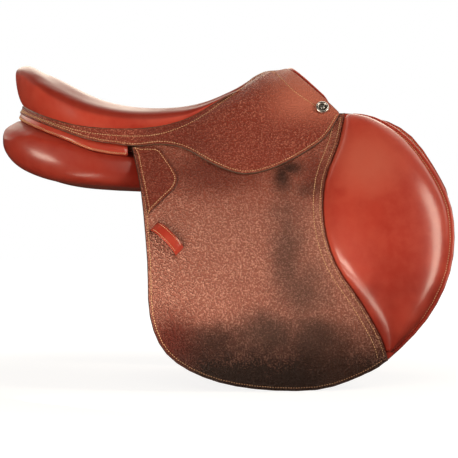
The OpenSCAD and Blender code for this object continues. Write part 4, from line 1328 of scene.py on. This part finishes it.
def long_runs(bm):
    """The lower and the upper edge of the skirt's face."""
    return sorted(sorted(edge_runs(bm), key=len)[-2:], key=lambda run: sum(v.co.z for v in run)/len(run))


def draw_to_roll(bm):
    """Pulls the front edge of the skirt up to the rolled edge of the pommel."""
    bm.normal_update()
    roll = [Vector(p)*MM for p in spline(ROLL_PATH, ROLL_STEP)]
    front = max(edge_runs(bm), key=lambda run: sum(v.co.x for v in run)/len(run))
    front.sort(key=lambda v: -v.co.z)
    far = [0.0]
    for a, b in zip(front, front[1:]):
        far.append(far[-1] + (a.co - b.co).length)
    for v, reach in zip(front, far):
        share = reach/far[-1]
        target = roll[int(round(share*(len(roll) - 1)))]
        way = (v.co - target).normalized() + FRONT_LEAN*v.normal
        goal = target + way.normalized()*(ROLL_RADIUS + ROLL_CLEAR)*MM
        if share == 0:
            goal = POMMEL_TOP
        shift = (goal - v.co)*(1 - share)**0.5
        v.co += shift
        for edge in v.link_edges:
            other = edge.other_vert(v)
            if other not in front:
                other.co += FRONT_GIVE*shift


# The skirt's upper edge: raised along the seat, and carried over the seat's front end from CAP_FROM on

CAP_FROM, CAP_FULL = 0.098, 0.152
CAP_ROWS = 5
CAP_LIFT = 1.7*MM
CAP_AXIS_DROP = 12*MM
CAP_REACH = 0.12
CAP_JOIN = 0.05*MM
TOP_RISE = 3.0*MM
TOP_RISE_TO = (0.06, CAP_FROM)


def raise_top(bm):
    """Brings the upper edge of the skirt's rear strip up behind the welt."""
    for v in long_runs(bm)[1]:
        share = 1 - float(ease(v.co.x, *TOP_RISE_TO))
        v.co.z += TOP_RISE*share


def cap_pommel(bm, seat_surface):
    """Carries the skirt up over the front end of the seat to the mid plane."""
    top = sorted((v for v in long_runs(bm)[1] if v.co.x > CAP_FROM), key=lambda v: v.co.x)
    columns = []
    for v in top[:-1]:
        share = float(ease(v.co.x, CAP_FROM, CAP_FULL))
        axis = Vector((v.co.x, 0, v.co.z - CAP_AXIS_DROP))
        start = math.atan2(v.co.z - axis.z, -v.co.y)
        column = [v]
        for k in range(1, CAP_ROWS + 1):
            turn = start + (math.pi/2 - start)*share*k/CAP_ROWS
            way = Vector((0, -math.cos(turn), math.sin(turn)))
            hit = seat_surface.ray_cast(axis + way*CAP_REACH, -way)[0]
            there = hit + way*CAP_LIFT if hit else v.co
            column.append(bm.verts.new(there))
        columns.append(column)
    for a, b in zip(columns, columns[1:]):
        for k in range(CAP_ROWS):
            bm.faces.new((a[k], b[k], b[k + 1], a[k + 1]))
    last = columns[-1]
    for k in range(CAP_ROWS):
        bm.faces.new((last[k], top[-1], last[k + 1]))
    bmesh.ops.remove_doubles(bm, verts=bm.verts, dist=CAP_JOIN)


# The lap of the skirt over the flap, in mm along the fold and down from it, and the seam of the two sides

LAP_FROM = -14
LAP_DROP = -5.5
LAP_REACH = 34
LOBE_ROWS = [0.07, 0.2, 0.35, 0.5, 0.65, 0.8, 0.92, 1.0]
LOBE_SPARE = 2
LOBE_TIP = 0.5
FOLD_EASE = 34
FOLD_GIVE = 0.5
FOLD_ROUNDS = 10
MEET_FROM = 24*MM
MEET_LAP = 0.9*MM


def meet_at_middle(places):
    """Draws the rear end of a right-hand strip in to the mid plane, where the two sides are sewn together."""
    rear = places[:, 0] < 0
    gap = MEET_LAP - places[rear, 1].max()
    places[:, 1] += gap*(1 - ease(-places[:, 1], gap, MEET_FROM))*rear


def skirt_face(seat_surface):
    """The skirt's outer face down to the fold, with the lobe's face grown from it."""
    face = object_of("skirt_face", outer_face("right_skirt", SKIRT_SEEN_FROM), [grained_leather])
    subdivide(face, 1)
    bm = bmesh.new()
    bm.from_mesh(face.data)
    bpy.data.objects.remove(face)
    draw_to_roll(bm)
    raise_top(bm)
    places = np.array([tuple(v.co) for v in bm.verts])
    meet_at_middle(places)
    for v, place in zip(bm.verts, places):
        v.co = place
    cap_pommel(bm, seat_surface)
    foot, front = lobe_foot()
    on_fold = []
    for v in long_runs(bm)[0]:
        u = (sweep.to_fold @ v.co).x
        if LAP_FROM < u < front + LOBE_SPARE:
            on_fold.append((u, v))
    on_fold.sort(key=lambda pair: pair[0])
    start, root = on_fold[0]
    rows = []
    for u, v in on_fold[1:]:
        _, top, out = sweep.place(v.co)
        lap = float(ease(u, start, start + LAP_REACH))
        drop = (min(foot(min(u, front - LOBE_TIP)), LAP_DROP) - top)*lap
        lift = (Sweep.skirt_face - out)*lap
        grown = [sweep.point(u, top + drop*t, out + lift*t**0.5) for t in LOBE_ROWS]
        rows.append([v] + [bm.verts.new(place) for place in grown])
    for k in range(len(LOBE_ROWS)):
        bm.faces.new((root, rows[0][k + 1], rows[0][k]))
    for a, b in zip(rows, rows[1:]):
        for k in range(len(LOBE_ROWS)):
            bm.faces.new((a[k], a[k + 1], b[k + 1], b[k]))
    bm.normal_update()
    bmesh.ops.recalc_face_normals(bm, faces=bm.faces)
    if sum(f.normal.y for f in bm.faces) > 0:
        bmesh.ops.reverse_faces(bm, faces=bm.faces)
    relax_fold(bm)
    return bm


def relax_fold(bm):
    """Eases the crease at the fold, so the hide flows over it."""
    near = {}
    for v in bm.verts:
        if not v.is_boundary:
            far = abs((sweep.to_fold @ v.co).z)
            if far < FOLD_EASE:
                near[v] = FOLD_GIVE*(1 - far/FOLD_EASE)
    for _ in range(FOLD_ROUNDS):
        goal = {v: sum((e.other_vert(v).co for e in v.link_edges), Vector())/len(v.link_edges) for v in near}
        for v, share in near.items():
            v.co = v.co.lerp(goal[v], share)


# Where the hide stands square to the flap, along the fold and up from it, in mm

SQUARE_FROM = (-22, -12)
SQUARE_TO = (56, 76)
SQUARE_UP_TO = (3, 12)
SHEET_SOFT = 0.7*MM


def face_out(point, normal):
    """The way out of the hide, square to the flap where the lap starts and its face is too narrow to tell."""
    u, h, _ = sweep.place(point)
    lapped = float(ease(u, *SQUARE_FROM)*(1 - ease(u, *SQUARE_TO))*(1 - ease(h, *SQUARE_UP_TO)))
    return normal.lerp(sweep.outward(u, h), lapped).normalized()


def thickened(bm, thickness):
    """Closes an open face into a sheet with rounded edges. Gives points, faces, face kinds and the rim."""
    bm.verts.index_update()
    bm.verts.ensure_lookup_table()
    bm.normal_update()
    soft = SHEET_SOFT
    count = len(bm.verts)
    face_points = [v.co.copy() for v in bm.verts]
    normals = [face_out(v.co, v.normal) for v in bm.verts]
    thick = [thickness(p) for p in face_points]
    ring = [v.index for v in open_ring(bm)]
    edge = [face_points[i].copy() for i in ring]
    n = len(ring)
    outward = []
    for k, i in enumerate(ring):
        way = edge[(k + 1) % n] - edge[k - 1]
        outward.append(way.cross(normals[i]).normalized())
    for k, i in enumerate(ring):
        face_points[i] = edge[k] - soft*outward[k]
    points = face_points + [p - t*normal for p, normal, t in zip(face_points, normals, thick)]
    faces = [tuple(v.index for v in f.verts) for f in bm.faces]
    kinds = [0]*len(faces)
    faces += [tuple(count + i for i in reversed(f)) for f in faces]
    kinds += [2]*(len(faces) - len(kinds))
    profile = [(0.28*soft, 0.3*soft, 0), (0, soft, 0), (0, -0.6*soft, 1)]
    rows = [list(ring)]
    for depth, down, through in profile:
        rows.append(list(range(len(points), len(points) + n)))
        points += [edge[k] - depth*outward[k] - (down + through*thick[i])*normals[i]
                   for k, i in enumerate(ring)]
    rows.append([count + i for i in ring])
    for upper, lower in zip(rows, rows[1:]):
        for k in range(n):
            j = (k + 1) % n
            faces.append((upper[k], lower[k], lower[j], upper[j]))
            kinds.append(1)
    rim = [(edge[k], normals[i], outward[k]) for k, i in enumerate(ring)]
    return points, faces, kinds, rim


def above_fold(point):
    """True for a point over the flap's fold."""
    return (sweep.to_fold @ Vector(point)).z > 0


CUT_FROM = -12
LOBE_FROM = -8


def split_at_fold(name, obj):
    """Cuts a hide along the fold into the part on the saddle and the part on the lobe, with one shading."""
    bm = bmesh.new()
    bm.from_mesh(obj.data)
    at = sweep.to_world @ Vector((0, 0, 0))
    across = (sweep.to_world.to_3x3() @ Vector((0, math.sin(Sweep.lean), math.cos(Sweep.lean)))).normalized()
    near = [g for g in list(bm.verts) + list(bm.edges) + list(bm.faces)
            if all((sweep.to_fold @ v.co).x > CUT_FROM for v in (g.verts if hasattr(g, "verts") else [g]))]
    bmesh.ops.bisect_plane(bm, geom=near, dist=1e-7, plane_co=at, plane_no=across)
    bm.normal_update()

    def upper(face):
        middle = face.calc_center_median()
        return (middle - at).dot(across) > 0 or (sweep.to_fold @ middle).x < LOBE_FROM

    made = []
    for label, wanted in (("", True), ("_lobe", False)):
        part = bm.copy()
        shade_of = part.verts.layers.float_vector.new("shade")
        for v in part.verts:
            v[shade_of] = v.normal
        drop = [f for f in part.faces if upper(f) != wanted]
        bmesh.ops.delete(part, geom=drop, context="FACES")
        kinds = [f.material_index for f in part.faces]
        normals = [tuple(v[shade_of]) for v in part.verts]
        part.verts.layers.float_vector.remove(shade_of)
        half = object_of(name + label, part, list(obj.data.materials))
        half.data.polygons.foreach_set("material_index", np.array(kinds, np.int32))
        half.data.normals_split_custom_set_from_vertices(normals)
        made.append(half)
    bm.free()
    bpy.data.objects.remove(obj)
    return made


THIN_HIDE = 1.3*MM
THIN_FROM = (0.10, 0.15)
THIN_ABOVE = (0.125, 0.15)
LAP_SKIVED = 1.6*MM
SKIVED_TO = (28, 40)
SKIVED_UP_TO = (2, 12)


def hide_thickness(point):
    """Thinned where the skirt is drawn over the front of the seat, and where it laps the patch."""
    drawn = ease(point.x, *THIN_FROM)*ease(point.z, *THIN_ABOVE)
    u, h, _ = sweep.place(point)
    lapped = (1 - ease(u, *SKIVED_TO))*(1 - ease(h, *SKIVED_UP_TO))
    return SKIRT_THICK + (THIN_HIDE - SKIRT_THICK)*float(drawn) - LAP_SKIVED*float(lapped)


def roll_tuck(z):
    """How far the roll of the pommel has gone in behind the skirt, from none to all."""
    return 1 - float(ease(z, *TUCKED_FROM))


# Places on the skirt's rim, in mm, between which its edges run

STRIP_END_LOW = (-208, -1, 103)
STRIP_END_HIGH = (-205, -1, 116)
WELT_FRONT = (110, -48, 134)
SKIRT_TIP = (252, -66, 98)


def rim_run(rim, start, end):
    """The part of a rim from its point nearest one place to the one nearest another, both in mm."""
    edge = np.array([tuple(p) for p, _, _ in rim])
    first, last = [int(np.argmin(np.linalg.norm(edge - np.array(p)*MM, axis=1))) for p in (start, end)]
    if last < first:
        last += len(rim)
    return [rim[i % len(rim)] for i in range(first, last)]


GUSSET_COLUMNS = 4
GUSSET_THICK = 1.2*MM
GUSSET_SEAM = 2.5*MM
GUSSET_UP_FROM = FOLD_BAND - 4


def make_gusset(rim):
    """Leather that closes the gap between the skirt's front edge and the roll of the pommel, behind both."""
    roll = []
    for p in spline(ROLL_PATH, ROLL_FINE_STEP):
        middle = Vector(p)*MM
        roll.append(middle + ROLL_TUCKED*roll_tuck(middle.z))
    bm = bmesh.new()
    rows = []
    for p, normal, outward in rim_run(rim, SKIRT_TIP, POMMEL_TOP/MM):
        if (sweep.to_fold @ p).z > GUSSET_UP_FROM:
            under = p - 0.5*hide_thickness(p)*normal - GUSSET_SEAM*outward
            there = min(roll, key=lambda middle: (middle - p).length)
            across = [under.lerp(there, k/GUSSET_COLUMNS) for k in range(GUSSET_COLUMNS + 1)]
            rows.append([bm.verts.new(place) for place in across])
    for a, b in zip(rows, rows[1:]):
        for k in range(GUSSET_COLUMNS):
            bm.faces.new((a[k], a[k + 1], b[k + 1], b[k]))
    bm.normal_update()
    points, faces = thickened(bm, lambda p: GUSSET_THICK)[:2]
    bm.free()
    gusset = piece("right_pommel_gusset", points, faces, [red_leather], [0]*len(faces))
    fit_both(gusset, "saddle")


def make_skirt(seat_surface):
    """The hide in its two parts, the gusset behind its front edge, and its seams."""
    bm = skirt_face(seat_surface)
    skin = object_of("skirt_skin", bm, [grained_leather])
    subdivide(skin, 1)
    bm = bmesh.new()
    bm.from_mesh(skin.data)
    surface = surface_of(skin)
    bpy.data.objects.remove(skin)
    points, faces, kinds, rim = thickened(bm, hide_thickness)
    bm.free()
    whole = piece("skirt_whole", points, faces, [grained_leather, raw_edge, flesh_side], kinds)
    upper, lobe = split_at_fold("right_skirt_hide", whole)
    over, at_fold, under = [tuple(sweep.to_world @ Vector((FOLD_MIDDLE, 0, height)))
                            for height in (FOLD_BAND, 0, -FOLD_BAND)]
    upper_bend = ("saddle", "right_flap", over, at_fold)
    lobe_bend = ("right_flap", "right_lobe", at_fold, under)
    fit_both(upper, "saddle", ["right_skirt"], bend=upper_bend)
    fit_both(lobe, "right_lobe", ["right_skirt_lobe"], bend=lobe_bend)
    make_gusset(rim)
    rows = skirt_rows(rim, surface)
    upper_thread = sew("right_skirt_stitching", rows, above_fold)
    lobe_thread = sew("right_lobe_stitching", rows, lambda at: not above_fold(at))
    fit_both(upper_thread, "saddle", bend=upper_bend)
    fit_both(lobe_thread, "right_lobe", bend=lobe_bend)


# The upper seam: its drop in mm from the edge at places along the saddle, then its turn down to the stud, as
# the camera sees it against the mid plane, in mm

SEAM_DROP = [(-0.208, 4.6), (-0.173, 5.4), (-0.135, 6.0), (-0.100, 7.4), (-0.045, 10.3), (0.0, 11.5),
             (0.031, 11.0), (0.060, 8.4), (0.096, 6.0)]
SEAM_SEEN = [(96.5, 127.9), (115, 140.6), (128.4, 151.8), (141.4, 160.3), (150.8, 163.6), (158.8, 162.6),
             (170, 154), (187.5, 136.3), (200.9, 126.4), (213.5, 117.8), (219.5, 114.0)]
SEAM_JOIN = 30*MM
SEAM_STEP = 1.5*MM
SEAM_ROUNDS = 12
EDGE_SEAM = 3.3*MM


def inset_edge(run, depth):
    """A run of the rim moved into the hide."""
    edge = np.array([tuple(p) for p, _, _ in run])
    inward = np.array([tuple(-outward) for _, _, outward in run])
    return edge + depth(edge)*inward


def seam_drop(edge):
    """The upper seam's depth in from each point of the edge."""
    return np.interp(edge[:, 0], *zip(*SEAM_DROP))[:, None]*MM


def skirt_rows(rim, surface):
    """The seam along the skirt's lower edge, and the one under the welt that turns down to the stud."""
    lower = inset_edge(rim_run(rim, STRIP_END_LOW, SKIRT_TIP), lambda edge: EDGE_SEAM)
    upper = inset_edge(rim_run(rim, WELT_FRONT, STRIP_END_HIGH), seam_drop)
    upper = upper[upper[:, 0] < SEAM_SEEN[0][0]*MM - SEAM_JOIN]
    eye = Vector(CAMERA_AT)
    seen = []
    for x, z in spline(SEAM_SEEN, 3):
        hit = surface.ray_cast(eye, Vector((x*MM, 0, z*MM)) - eye)[0]
        if hit:
            seen.append(tuple(hit))
    rows = []
    for path in (lower, np.vstack([upper[::-1], seen])):
        path = evenly(path, SEAM_STEP)
        for _ in range(SEAM_ROUNDS):
            path[1:-1] = 0.25*path[:-2] + 0.5*path[1:-1] + 0.25*path[2:]
        rows.append(row_on_surface(path, surface))
    return rows


def row_on_surface(path, surface):
    """A seam's row from places near a surface."""
    hits = [surface.find_nearest(Vector(p)) for p in path]
    return [hit[0] for hit in hits], [hit[1] for hit in hits]


# Panels and the facing strips above them

STRIP_CENTER = (-0.06, 0.0)
STRIP_SEEN_FROM = Vector((-0.1, -1.0, 0.1))
STRIP_HEIGHT = 12*MM
STRIP_BULGE = 1.6*MM
STRIP_FLARE = 5.0*MM
FLARE_TO = (-0.19, -0.11)
FLARE_FALL = 0.6
STRIP_ONWARD = 140*MM
STRIP_SEAM_UP, STRIP_SEAM_OUT = 2.6*MM, 2*MM
STRIP_STEP = 2*MM
STRIP_STITCH = {"pitch": 3.3*MM, "length": 4.4*MM, "width": 1.2*MM, "slant": 0.9}
ONWARD_STEP = 3*MM
ONWARD_POINTS = 20
PANEL_HELD_FROM = 0.12
PANEL_SWELL = 3*MM

# The panel's shoulder: its place under the strip, the points it is read from, and the band that is filled

SHOULDER_TUCK = 3.0*MM
SHOULDER_UP, SHOULDER_DOWN = 0.6*MM, 0.4*MM
SHOULDER_POINTS = 3
SHOULDER_SOFT = 6
SHOULDER_ROUNDS = 5
FILL_UP = (0, 8*MM)
FILL_BEYOND = (-16*MM, -4*MM)
FILL_ENDS = (40, 8)
PRESS_BEYOND = (-12*MM, -7*MM)


def away_from_strip(foot):
    """The level way out from the saddle at each point of the strip's lower edge."""
    out = foot[:, :2] - np.array(STRIP_CENTER)
    return out/np.linalg.norm(out, axis=1, keepdims=True)


def nearest_in_plan(foot, places):
    """The number of the foot's point nearest each place, seen from above."""
    return np.array([np.argmin(np.linalg.norm(foot[:, :2] - place[:2], axis=1)) for place in places])


def soften(values, width):
    """Values averaged with their neighbours."""
    padded = np.pad(values, width, mode="edge")
    return np.convolve(padded, np.full(2*width + 1, 1/(2*width + 1)), mode="valid")


def raise_panel(panel, foot):
    """Rounds the panel's top up to the lower edge of the facing strip, as a full shoulder."""
    places = points_of(panel)
    near = nearest_in_plan(foot, places)
    beyond = np.einsum("ij,ij->i", places[:, :2] - foot[near, :2], away_from_strip(foot)[near])
    rims = []
    for i in np.unique(near):
        row = np.flatnonzero(np.abs(near - i) <= SHOULDER_POINTS)
        far = row[np.argmax(beyond[row])]
        rims.append((i, beyond[far], places[far, 2]))
    at, widest, level = np.array(rims).T
    every = np.arange(len(foot))
    widest, level = [soften(np.interp(every, at, row), SHOULDER_SOFT)[near] for row in (widest, level)]
    top = foot[near, 2]
    share = np.clip((beyond + SHOULDER_TUCK)/(widest + SHOULDER_TUCK), 0, 1)
    shoulder = level + (top + SHOULDER_UP - level)*np.sqrt(1 - share**2)
    fill = ease(places[:, 2] - level, *FILL_UP)*ease(beyond, *FILL_BEYOND)
    fill *= 1 - ease(near, len(foot) - FILL_ENDS[0], len(foot) - FILL_ENDS[1])
    places[:, 2] += (shoulder - places[:, 2])*fill
    move_points(panel, places)
    relax(panel, fill, SHOULDER_ROUNDS)
    places = points_of(panel)
    over = np.maximum(places[:, 2] - top + SHOULDER_DOWN, 0)*ease(beyond, *PRESS_BEYOND)
    places[:, 2] -= over*(fill > 0)
    move_points(panel, places)


RELAX_PULL = 0.6


def relax(obj, shares, rounds):
    """Evens out a surface by drawing each point towards the middle of its neighbours."""
    ends = np.empty(len(obj.data.edges)*2, np.int32)
    obj.data.edges.foreach_get("vertices", ends)
    a, b = ends.reshape(-1, 2).T
    places = points_of(obj)
    count = np.bincount(ends, minlength=len(places))[:, None]
    for _ in range(rounds):
        total = np.zeros_like(places)
        np.add.at(total, a, places[b])
        np.add.at(total, b, places[a])
        places += RELAX_PULL*shares[:, None]*(total/count - places)
    move_points(obj, places)


def strip_foot():
    """The lower edge of the facing strip's outer face, from the cantle forwards."""
    face = outer_face("right_panel_facing", STRIP_SEEN_FROM)
    runs = sorted(edge_runs(face), key=len)[-2:]
    foot = min(runs, key=lambda run: sum(v.co.z for v in run)/len(run))
    places = np.array(sorted(tuple(v.co) for v in foot))
    face.free()
    return places


def flare(places):
    """How far the strip stands out at its rear end."""
    return STRIP_FLARE*(1 - ease(places[:, 0], *FLARE_TO))


def make_panels():
    """The stuffed panels, and the facing strips with their slanted seam."""
    foot = evenly(strip_foot(), STRIP_STEP)
    strip = smooth_copy("right_panel_facing", "right_panel_strip", [red_leather])
    places = points_of(strip)
    near = nearest_in_plan(foot, places)
    height = np.clip((places[:, 2] - foot[near, 2])/STRIP_HEIGHT, 0, 1)
    push = STRIP_BULGE*4*height*(1 - height) + flare(places)*(1 - FLARE_FALL*height)
    places[:, :2] += away_from_strip(foot)[near]*push[:, None]
    meet_at_middle(places)
    foot[:, :2] += away_from_strip(foot)*flare(foot)[:, None]
    panel = subdivide(object_of("right_panel_pad", welded("right_panel"), [panel_leather]), 1)
    held = points_of(panel)[:, 0] > PANEL_HELD_FROM
    stuff(panel, held, PANEL_SWELL)
    subdivide(panel, 1)
    way = foot[-1] - foot[-ONWARD_POINTS]
    onward = foot[-1] + way/np.linalg.norm(way)*STRIP_ONWARD
    raise_panel(panel, evenly(np.vstack([foot, onward]), ONWARD_STEP))
    fit_both(panel, "saddle", ["right_panel"])
    move_points(strip, places)
    surface = surface_of(strip)
    fit_both(strip, "saddle", ["right_panel_facing"])
    beside = np.column_stack([away_from_strip(foot)*STRIP_SEAM_OUT, np.full(len(foot), STRIP_SEAM_UP)])
    row = row_on_surface(evenly(foot + beside, STRIP_STEP), surface)
    stitches = sew("right_strip_stitching", [row], **STRIP_STITCH)
    fit_both(stitches, "saddle")


ROLL_SLIM = 0.72
ROLL_TUCKED_SLIM = 0.45


def make_pommel():
    """The pommel's rolled edge, which goes in behind the skirt at its ends, and the lining of the arch."""
    roll = smooth_copy("pommel_roll", "pommel_piping", [red_leather])
    center = np.array(spline(ROLL_PATH, ROLL_FINE_STEP))*MM
    places = points_of(roll)
    for place in places:
        line = center*np.array([1, -np.sign(place[1]) or 1, 1])
        middle = line[np.argmin(np.linalg.norm(line - place, axis=1))]
        tucked = roll_tuck(place[2])
        slim = ROLL_SLIM - ROLL_TUCKED_SLIM*tucked
        place[:] = middle + (place - middle)*slim + tucked*np.array(ROLL_TUCKED)*(1, -np.sign(place[1]), 1)
    move_points(roll, places)
    fit(roll, "saddle", ["pommel_roll"])
    facing = smooth_copy("pommel_facing", "pommel_lining", [red_leather])
    fit(facing, "saddle", ["pommel_facing"])


# The stud's profile as radius and height in mm, its proudest height, and the rings of its tarnished bottom

STUD_PROFILE = [(0.0, -1.5), (9.2, -1.5), (9.4, 0.0), (9.3, 0.8), (8.8, 1.6), (8.0, 2.2),
                (7.2, 2.4), (6.4, 2.1), (5.9, 1.4), (5.6, 0.4), (5.3, 0.1), (3.4, 0.1),
                (3.0, 0.5), (2.7, 1.2), (1.9, 1.6), (0.0, 1.7)]
STUD_SIDES = 40
STUD_PROUD = 2.4*MM
STUD_JOIN = 0.001*MM
STUD_BOTTOM = range(9, 12)


def make_stud():
    """A turned ring with a sunk middle."""
    places = points_of(nodes["right_stud"])
    middle = places.mean(axis=0)
    axis = Vector(np.linalg.svd(places - middle)[2][2])
    if axis.y > 0:
        axis = -axis
    face = Vector(middle) + axis*float(((places - middle) @ np.array(axis)).max() - STUD_PROUD)
    side = axis.cross(Vector((0, 0, 1))).normalized()
    up = side.cross(axis)
    points, faces, kinds = [], [], []
    for radius, height in STUD_PROFILE:
        for k in range(STUD_SIDES):
            turn = 2*math.pi*k/STUD_SIDES
            points.append(face + (side*math.cos(turn) + up*math.sin(turn))*radius*MM + axis*height*MM)
    for ring in range(len(STUD_PROFILE) - 1):
        for k in range(STUD_SIDES):
            j = (k + 1) % STUD_SIDES
            a, b = ring*STUD_SIDES, (ring + 1)*STUD_SIDES
            faces.append((a + k, b + k, b + j, a + j))
            kinds.append(1 if ring in STUD_BOTTOM else 0)
    stud = piece("right_stud_ring", points, faces, [steel, tarnish], kinds)
    bm = bmesh.new()
    bm.from_mesh(stud.data)
    bmesh.ops.remove_doubles(bm, verts=bm.verts, dist=STUD_JOIN)
    bmesh.ops.dissolve_degenerate(bm, dist=STUD_JOIN, edges=bm.edges)
    bmesh.ops.recalc_face_normals(bm, faces=bm.faces)
    bm.to_mesh(stud.data)
    bm.free()
    fit_both(stud, "saddle", ["right_stud"])


SWEAT_LOW, SWEAT_FACE = -26.9, -23.4
SWEAT_SEAM = 4.0


def make_sweat_flap():
    """The plain flap that lies against the horse, sewn all round."""
    rings = [smooth_ring(r, EDGE_STEP) for r in face_loops("right_sweat_flap", SWEAT_FACE)]
    sweat = cut_leather("right_sweat_sheet", rings, SWEAT_LOW, SWEAT_FACE,
                        [red_leather, raw_edge, dark_leather])
    fit_both(sweat, "saddle", ["right_sweat_flap"])
    stitches = sew_round("right_sweat_stitching", rings[0], SWEAT_SEAM, SWEAT_FACE)
    fit_both(stitches, "saddle")


# Carried-over solids

KEPT = {
    dark_leather: ["gullet_lining", "point_pocket", "girth_straps", "buckle_guard"],
    steel: ["head_plate", "stirrup_bar", "bar_rivets", "catch_pin", "bar_catch"],
    beech: ["tree_deck", "tree_head"],
    webbing: ["seat_web", "girth_web"],
}


def finish_kept():
    """Gives the solids that are shown as they are their material."""
    for material, names in KEPT.items():
        for name in names:
            for node in (name, "right_" + name, "left_" + name):
                if node in nodes:
                    data = nodes[node].data
                    data.materials.clear()
                    data.materials.append(material)


set_camera()
lay_floor()
light_world()
hang_lamps()
finish_kept()
make_skirt(make_seat())
grip_front, flap_border = make_flap()
make_patch()
make_keeper()
make_block(grip_front, flap_border)
make_panels()
make_pommel()
make_stud()
make_sweat_flap()

bpy.context.scene.view_settings.view_transform = "Standard"
